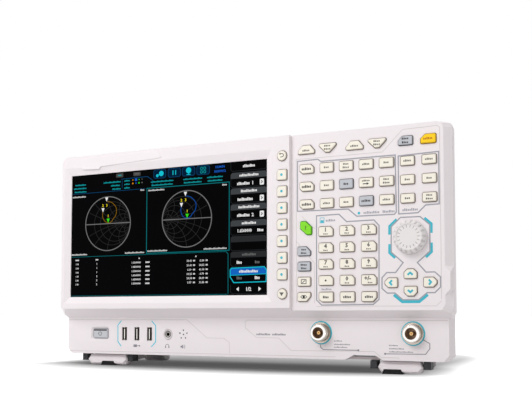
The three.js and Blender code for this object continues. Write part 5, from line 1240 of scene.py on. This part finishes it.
def thread_tree():
    """A helical ridge on a turned barrel whose axis runs along the depth."""
    tree, given = new_tree("port_thread", {
        "Radius": "Float", "Pitch": "Float", "Turns": "Float", "Ridge": "Float", "Start": "Vector",
        "Material": "Material",
    })
    length = add_node(tree, "ShaderNodeMath", {0: given["Pitch"], 1: given["Turns"]}, operation="MULTIPLY")
    path = add_node(tree, "GeometryNodeCurveSpiral", {
        "Resolution": 32,
        "Rotations": given["Turns"],
        "Start Radius": given["Radius"],
        "End Radius": given["Radius"],
        "Height": length.outputs[0],
    })
    profile = add_node(tree, "GeometryNodeCurvePrimitiveCircle", {"Resolution": 6, "Radius": given["Ridge"]})
    ridge = add_node(tree, "GeometryNodeCurveToMesh", {
        "Curve": path.outputs[0],
        "Profile Curve": profile.outputs[0],
        "Fill Caps": True,
    })
    placed = add_node(tree, "GeometryNodeTransform", {
        "Geometry": ridge.outputs[0],
        "Translation": given["Start"],
        "Rotation": (-math.pi / 2, 0, 0),
    })
    close_tree(tree, placed.outputs[0], given["Material"])
    return tree


def spoke_tree():
    """Short bars set like spokes round an axis that runs along the depth."""
    tree, given = new_tree("knob_marks", {
        "Count": "Int", "Radius": "Float", "Length": "Float", "Width": "Float", "Height": "Float",
        "Centre": "Vector", "Material": "Material",
    })
    circle = add_node(tree, "GeometryNodeMeshCircle", {"Vertices": given["Count"], "Radius": given["Radius"]})
    size = add_node(tree, "ShaderNodeCombineXYZ", {0: given["Length"], 1: given["Width"], 2: given["Height"]})
    spoke = add_node(tree, "GeometryNodeMeshCube", {"Size": size.outputs[0]})
    outward = add_node(tree, "GeometryNodeInputPosition")
    turn = add_node(tree, "FunctionNodeAlignRotationToVector", {"Vector": outward.outputs[0]}, axis="X")
    spokes = add_node(tree, "GeometryNodeInstanceOnPoints", {
        "Points": circle.outputs[0],
        "Instance": spoke.outputs[0],
        "Rotation": turn.outputs[0],
    })
    realized = add_node(tree, "GeometryNodeRealizeInstances", {"Geometry": spokes.outputs[0]})
    placed = add_node(tree, "GeometryNodeTransform", {
        "Geometry": realized.outputs[0],
        "Translation": given["Centre"],
        "Rotation": (math.pi / 2, 0, 0),
    })
    close_tree(tree, placed.outputs[0], given["Material"])
    return tree


def screw_tree():
    """The same screw on every point of the seed mesh."""
    tree, given = new_tree("cover_screws", {"Screw": "Object", "Material": "Material"})
    screw = add_node(tree, "GeometryNodeObjectInfo", {"Object": given["Screw"], "As Instance": True})
    screws = add_node(tree, "GeometryNodeInstanceOnPoints", {
        "Points": given["Places"],
        "Instance": screw.outputs["Geometry"],
    })
    close_tree(tree, screws.outputs[0], given["Material"])
    return tree


def screw_head():
    """A button-head screw with a hexagon socket, its seat at the origin and its head towards +Y."""
    steps = 24
    rings = []
    for radius, rise, corners in ((3.0, -0.2, 0), (3.0, 0.5, 0), (2.6, 1.2, 0), (1.9, 1.6, 0), (1.35, 1.7, 6),
                                  (1.35, 0.5, 6)):
        circle = []
        for i in range(steps):
            angle = 2 * math.pi * i / steps
            reach = radius
            if corners:
                sector = math.pi / corners
                reach = radius * math.cos(sector) / math.cos((angle % (2 * sector)) - sector)
            circle.append((reach * math.cos(angle) / 1000, rise / 1000, reach * math.sin(angle) / 1000))
        rings.append(circle)
    corners = [corner for circle in rings for corner in circle]
    faces = [list(range(steps)), list(range(len(corners) - 1, len(corners) - steps - 1, -1))]
    for level in range(len(rings) - 1):
        for i in range(steps):
            a, b = level * steps + i, level * steps + (i + 1) % steps
            faces.append([a, a + steps, b + steps, b])
    mesh = bpy.data.meshes.new("screw_head")
    mesh.from_pydata(corners, [], faces)
    shape = bmesh.new()
    shape.from_mesh(mesh)
    bmesh.ops.recalc_face_normals(shape, faces=shape.faces)
    shape.to_mesh(mesh)
    shape.free()
    return bpy.data.objects.new("screw_head", mesh)


class ANALYZER_OT_small_hardware(bpy.types.Operator):
    """Adds the port threads, the marks round the knob's face and the cover screws"""

    bl_idname = "analyzer.small_hardware"
    bl_label = "Threads, knob marks and screws"

    def execute(self, context):
        nickel = plated_metal("nickel_thread", linear("#BDB5AB"), 0.2)
        thread = thread_tree()
        for name in PORTS:
            x, z = middle(name)
            start = Vector((x / 1000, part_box(name)[0].y + THREAD_START, z / 1000))
            values = {
                "Radius": 0.0075, "Pitch": 0.00106, "Turns": 4.0, "Ridge": 0.00038, "Start": start,
                "Material": nickel,
            }
            grow_piece(name.replace("connector", "thread"), thread, values, "housing")
        x, z = middle("encoder_knob")
        dish_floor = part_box("encoder_knob")[0].y + DISH_DEPTH
        mark = printing_ink("grey_knob_mark", linear("#A39C99"))
        values = {
            "Count": 18, "Radius": 0.0088, "Length": 0.0023, "Width": 0.00045, "Height": 0.00012,
            "Centre": Vector((x / 1000, dish_floor, z / 1000)), "Material": mark,
        }
        grow_piece("knob_marks", spoke_tree(), values, "knob")
        black = plated_metal("black_zinc_screw", linear("#3A3B3E"), 0.35)
        screw = screw_head()
        heads = [(x, z) for x in CORNER_SCREWS_X for z in CORNER_SCREWS_Z]
        heads += [(x, TOP_SCREWS_Z) for x in TOP_SCREWS_X]
        places = [(x / 1000, COVER_BACK, z / 1000) for x, z in heads]
        values = {"Screw": screw, "Material": black}
        grow_piece("cover_screws", screw_tree(), values, "housing", places)
        bpy.data.objects.remove(screw)
        return {"FINISHED"}


# Studio

FLOOR_REACH = 12.0  # metres from the middle of the floor to its sides
# Three round lamps: place, the point they face, width in metres and share of the main lamp's power.
LAMPS = {
    "main_lamp": ((-0.45, -1.1, 1.05), (0, 0, 0.15), 0.9, 1.0),
    "top_lamp": ((0.1, 0.1, 1.6), (0, 0, 0.1), 1.2, 0.5),
    "back_lamp": ((-0.6, 1.4, 1.0), (0, 0, 0.1), 1.0, 0.9),
}
CAMERA_PLACE = (0.33343, -0.71564, 0.05238)
CAMERA_TILT, CAMERA_TURN = 93.216, 24.521  # degrees: just above level, and from the right front
CAMERA_RISE = 0.1165  # shift of the view, as a share of its width

# The soft shadow under the instrument: how dark it gets, its middle and its half width and half depth.
SHADOW_DARKEST = 0.075
SHADOW_MIDDLE, SHADOW_HALVES = (-0.03, 0.06), (0.222, 0.3)
# Where its fades start and end: at the sides as shares of the squared halves, in front and behind in metres.
SIDE_FADE, FRONT_FADE, BACK_FADE = (0.65, 1.0), (-0.06, -0.135), (0.02, 0.5)
FRONT_BEND = -0.06  # how far the front edge curves back on its way to the ends, in metres
EDGE_BLEND = 0.15  # how softly the edges run into each other, as a share of full light
# How light the paper itself is where no light is left and where all of it is.
PAPER_GREYS = (0.13, 0.3)
# What stands on the paper darkens it up to this distance in metres, down to this share of the lift. It gets
# the whole lift from this openness on.
FOOT_REACH, FOOT_LIGHT, OPENNESS = 0.2, 0.75, 0.9


def seen_at_all(tree):
    """1 for what the camera sees, directly, mirrored or through glass, and 0 for what only gives light."""
    rays = add_node(tree, "ShaderNodeLightPath").outputs
    seen = rays["Is Camera Ray"]
    for ray in ("Is Glossy Ray", "Is Transmission Ray"):
        seen = add_node(tree, "ShaderNodeMath", {0: seen, 1: rays[ray]}, operation="MAXIMUM").outputs[0]
    return seen


def soft_shadow(tree, place):
    """The light that is left on the floor, from dark under the instrument to 1 beside it: the shadow ends
    quickly at the sides and in front, where its edge curves back, and fades slowly behind."""
    shift = [-at / half for at, half in zip(SHADOW_MIDDLE, SHADOW_HALVES)]
    scale = [1 / half for half in SHADOW_HALVES]
    spanned = {"Vector": place, "Location": (*shift, 0), "Scale": (*scale, 0)}
    centred = add_node(tree, "ShaderNodeMapping", spanned).outputs[0]
    itself_twice = {0: centred, 1: centred}
    squared = add_node(tree, "ShaderNodeVectorMath", itself_twice, operation="MULTIPLY").outputs[0]
    away = add_node(tree, "ShaderNodeVectorMath", {0: squared}, operation="LENGTH").outputs["Value"]
    depth = add_node(tree, "ShaderNodeSeparateXYZ", {"Vector": place}).outputs["Y"]
    curved = {0: away, 1: FRONT_BEND, 2: depth}
    bent = add_node(tree, "ShaderNodeMath", curved, operation="MULTIPLY_ADD").outputs[0]
    light = -1.0
    for reach, (start, end) in ((away, SIDE_FADE), (bent, FRONT_FADE), (depth, BACK_FADE)):
        fade = {"Value": reach, "From Min": start, "From Max": end, "To Min": SHADOW_DARKEST, "To Max": 1.0}
        edge = add_node(tree, "ShaderNodeMapRange", fade).outputs["Result"]
        pair = {0: light, 1: edge, 2: EDGE_BLEND}
        light = add_node(tree, "ShaderNodeMath", pair, operation="SMOOTH_MAX").outputs[0]
    return light


def white_paper_floor():
    """Seamless white paper: matt, lit by the lamps, and lifted to white where it is looked at. The lift fades
    close round the feet, where the paper sees little light, and in the soft shadow under the instrument."""
    material, tree, place = blank_material("white_paper_floor")
    fibre = drifting(tree, place, 3, 2.0, 0.4, 0.6)
    sheet = {"Color": opaque(linear("#E5E5E5")), "Roughness": fibre}
    paper = add_node(tree, "ShaderNodeBsdfDiffuse", sheet)
    hidden = add_node(tree, "ShaderNodeAmbientOcclusion", {"Distance": FOOT_REACH}, samples=16)
    sky = {"Value": hidden.outputs["AO"], "From Max": OPENNESS, "To Min": FOOT_LIGHT}
    open_sky = add_node(tree, "ShaderNodeMapRange", sky).outputs["Result"]
    light = soft_shadow(tree, place)
    lit = add_node(tree, "ShaderNodeMath", {0: open_sky, 1: light}, operation="MULTIPLY").outputs[0]
    lift = add_node(tree, "ShaderNodeEmission", {"Color": opaque(linear("#FFFFFF")), "Strength": lit})
    greys = {"Value": light, "To Min": PAPER_GREYS[0], "To Max": PAPER_GREYS[1]}
    grey = add_node(tree, "ShaderNodeMapRange", greys)
    shaded = add_node(tree, "ShaderNodeBsdfDiffuse", {"Color": grey.outputs["Result"]})
    looked_at = add_node(tree, "ShaderNodeAddShader", {0: shaded.outputs[0], 1: lift.outputs[0]})
    chosen = {0: seen_at_all(tree), 1: paper.outputs[0], 2: looked_at.outputs[0]}
    shown = add_node(tree, "ShaderNodeMixShader", chosen)
    add_node(tree, "ShaderNodeOutputMaterial", {"Surface": shown.outputs[0]})
    return material


def studio_world(ambient):
    """Even light from all round, behind which the camera sees plain white."""
    world = bpy.data.worlds.new("studio")
    world.use_nodes = True
    tree = world.node_tree
    tree.nodes.clear()
    glow = {"Color": opaque(linear("#FFFEFE")), "Strength": ambient}
    even = add_node(tree, "ShaderNodeBackground", glow)
    plain = {"Color": opaque(linear("#FFFFFF")), "Strength": 1.0}
    white = add_node(tree, "ShaderNodeBackground", plain)
    chosen = {0: seen_at_all(tree), 1: even.outputs[0], 2: white.outputs[0]}
    shown = add_node(tree, "ShaderNodeMixShader", chosen)
    add_node(tree, "ShaderNodeOutputWorld", {"Surface": shown.outputs[0]})
    bpy.context.scene.world = world


class ANALYZER_OT_stage(bpy.types.Operator):
    """Sets up the floor, the light and the camera"""

    bl_idname = "analyzer.stage"
    bl_label = "Stage"

    def execute(self, context):
        chosen = settings("stage")
        mesh = bpy.data.meshes.new("floor")
        corners = [(x * FLOOR_REACH, y * FLOOR_REACH, 0) for x, y in ((-1, -1), (1, -1), (1, 1), (-1, 1))]
        mesh.from_pydata(corners, [], [[0, 1, 2, 3]])
        mesh.materials.append(white_paper_floor())
        linked("floor", mesh)
        studio_world(chosen.ambient)
        for name, (place, target, size, share) in LAMPS.items():
            light = bpy.data.lights.new(name, "AREA")
            light.shape = "DISK"
            light.size = size
            light.energy = chosen.lamp * share
            lamp = linked(name, light)
            lamp.location = place
            lamp.rotation_euler = (Vector(target) - Vector(place)).to_track_quat("-Z", "Y").to_euler()
        camera = bpy.data.cameras.new("camera")
        camera.lens = chosen.lens
        camera.sensor_width = 36
        camera.shift_y = CAMERA_RISE
        camera.clip_start = 0.01
        viewer = linked("camera", camera)
        viewer.location = CAMERA_PLACE
        viewer.rotation_euler = (math.radians(CAMERA_TILT), 0, math.radians(CAMERA_TURN))
        context.scene.camera = viewer
        context.scene.view_settings.view_transform = "Standard"
        return {"FINISHED"}


OPERATORS = [
    ANALYZER_OT_housing,
    ANALYZER_OT_keys,
    ANALYZER_OT_metalwork,
    ANALYZER_OT_panel_lines,
    ANALYZER_OT_lower_prints,
    ANALYZER_OT_key_marks,
    ANALYZER_OT_screen,
    ANALYZER_OT_badge,
    ANALYZER_OT_small_hardware,
    ANALYZER_OT_stage,
]
SETTINGS = {
    "housing": AnalyzerHousing,
    "keys": AnalyzerKeys,
    "print": AnalyzerPrint,
    "screen": AnalyzerScreen,
    "stage": AnalyzerStage,
}


class ANALYZER_PT_panel(bpy.types.Panel):
    """Lists the analyzer's settings and its operators"""

    bl_idname = "ANALYZER_PT_panel"
    bl_label = "Bench analyzer"
    bl_space_type = "VIEW_3D"
    bl_region_type = "UI"
    bl_category = "Analyzer"

    def draw(self, context):
        for name, group in SETTINGS.items():
            box = self.layout.box()
            box.label(text=name.capitalize())
            for key in group.__annotations__:
                box.prop(settings(name), key)
        for operator in OPERATORS:
            self.layout.operator(operator.bl_idname)


def register():
    for made in [*SETTINGS.values(), *OPERATORS, ANALYZER_PT_panel]:
        bpy.utils.register_class(made)
    for name, group in SETTINGS.items():
        setattr(bpy.types.Scene, "analyzer_" + name, bpy.props.PointerProperty(type=group))


def unregister():
    for name in SETTINGS:
        delattr(bpy.types.Scene, "analyzer_" + name)
    for made in reversed([*SETTINGS.values(), *OPERATORS, ANALYZER_PT_panel]):
        bpy.utils.unregister_class(made)


def main():
    register()
    for operator in OPERATORS:
        group, name = operator.bl_idname.split(".")
        getattr(getattr(bpy.ops, group), name)()


if __name__ == "__main__":
    main()
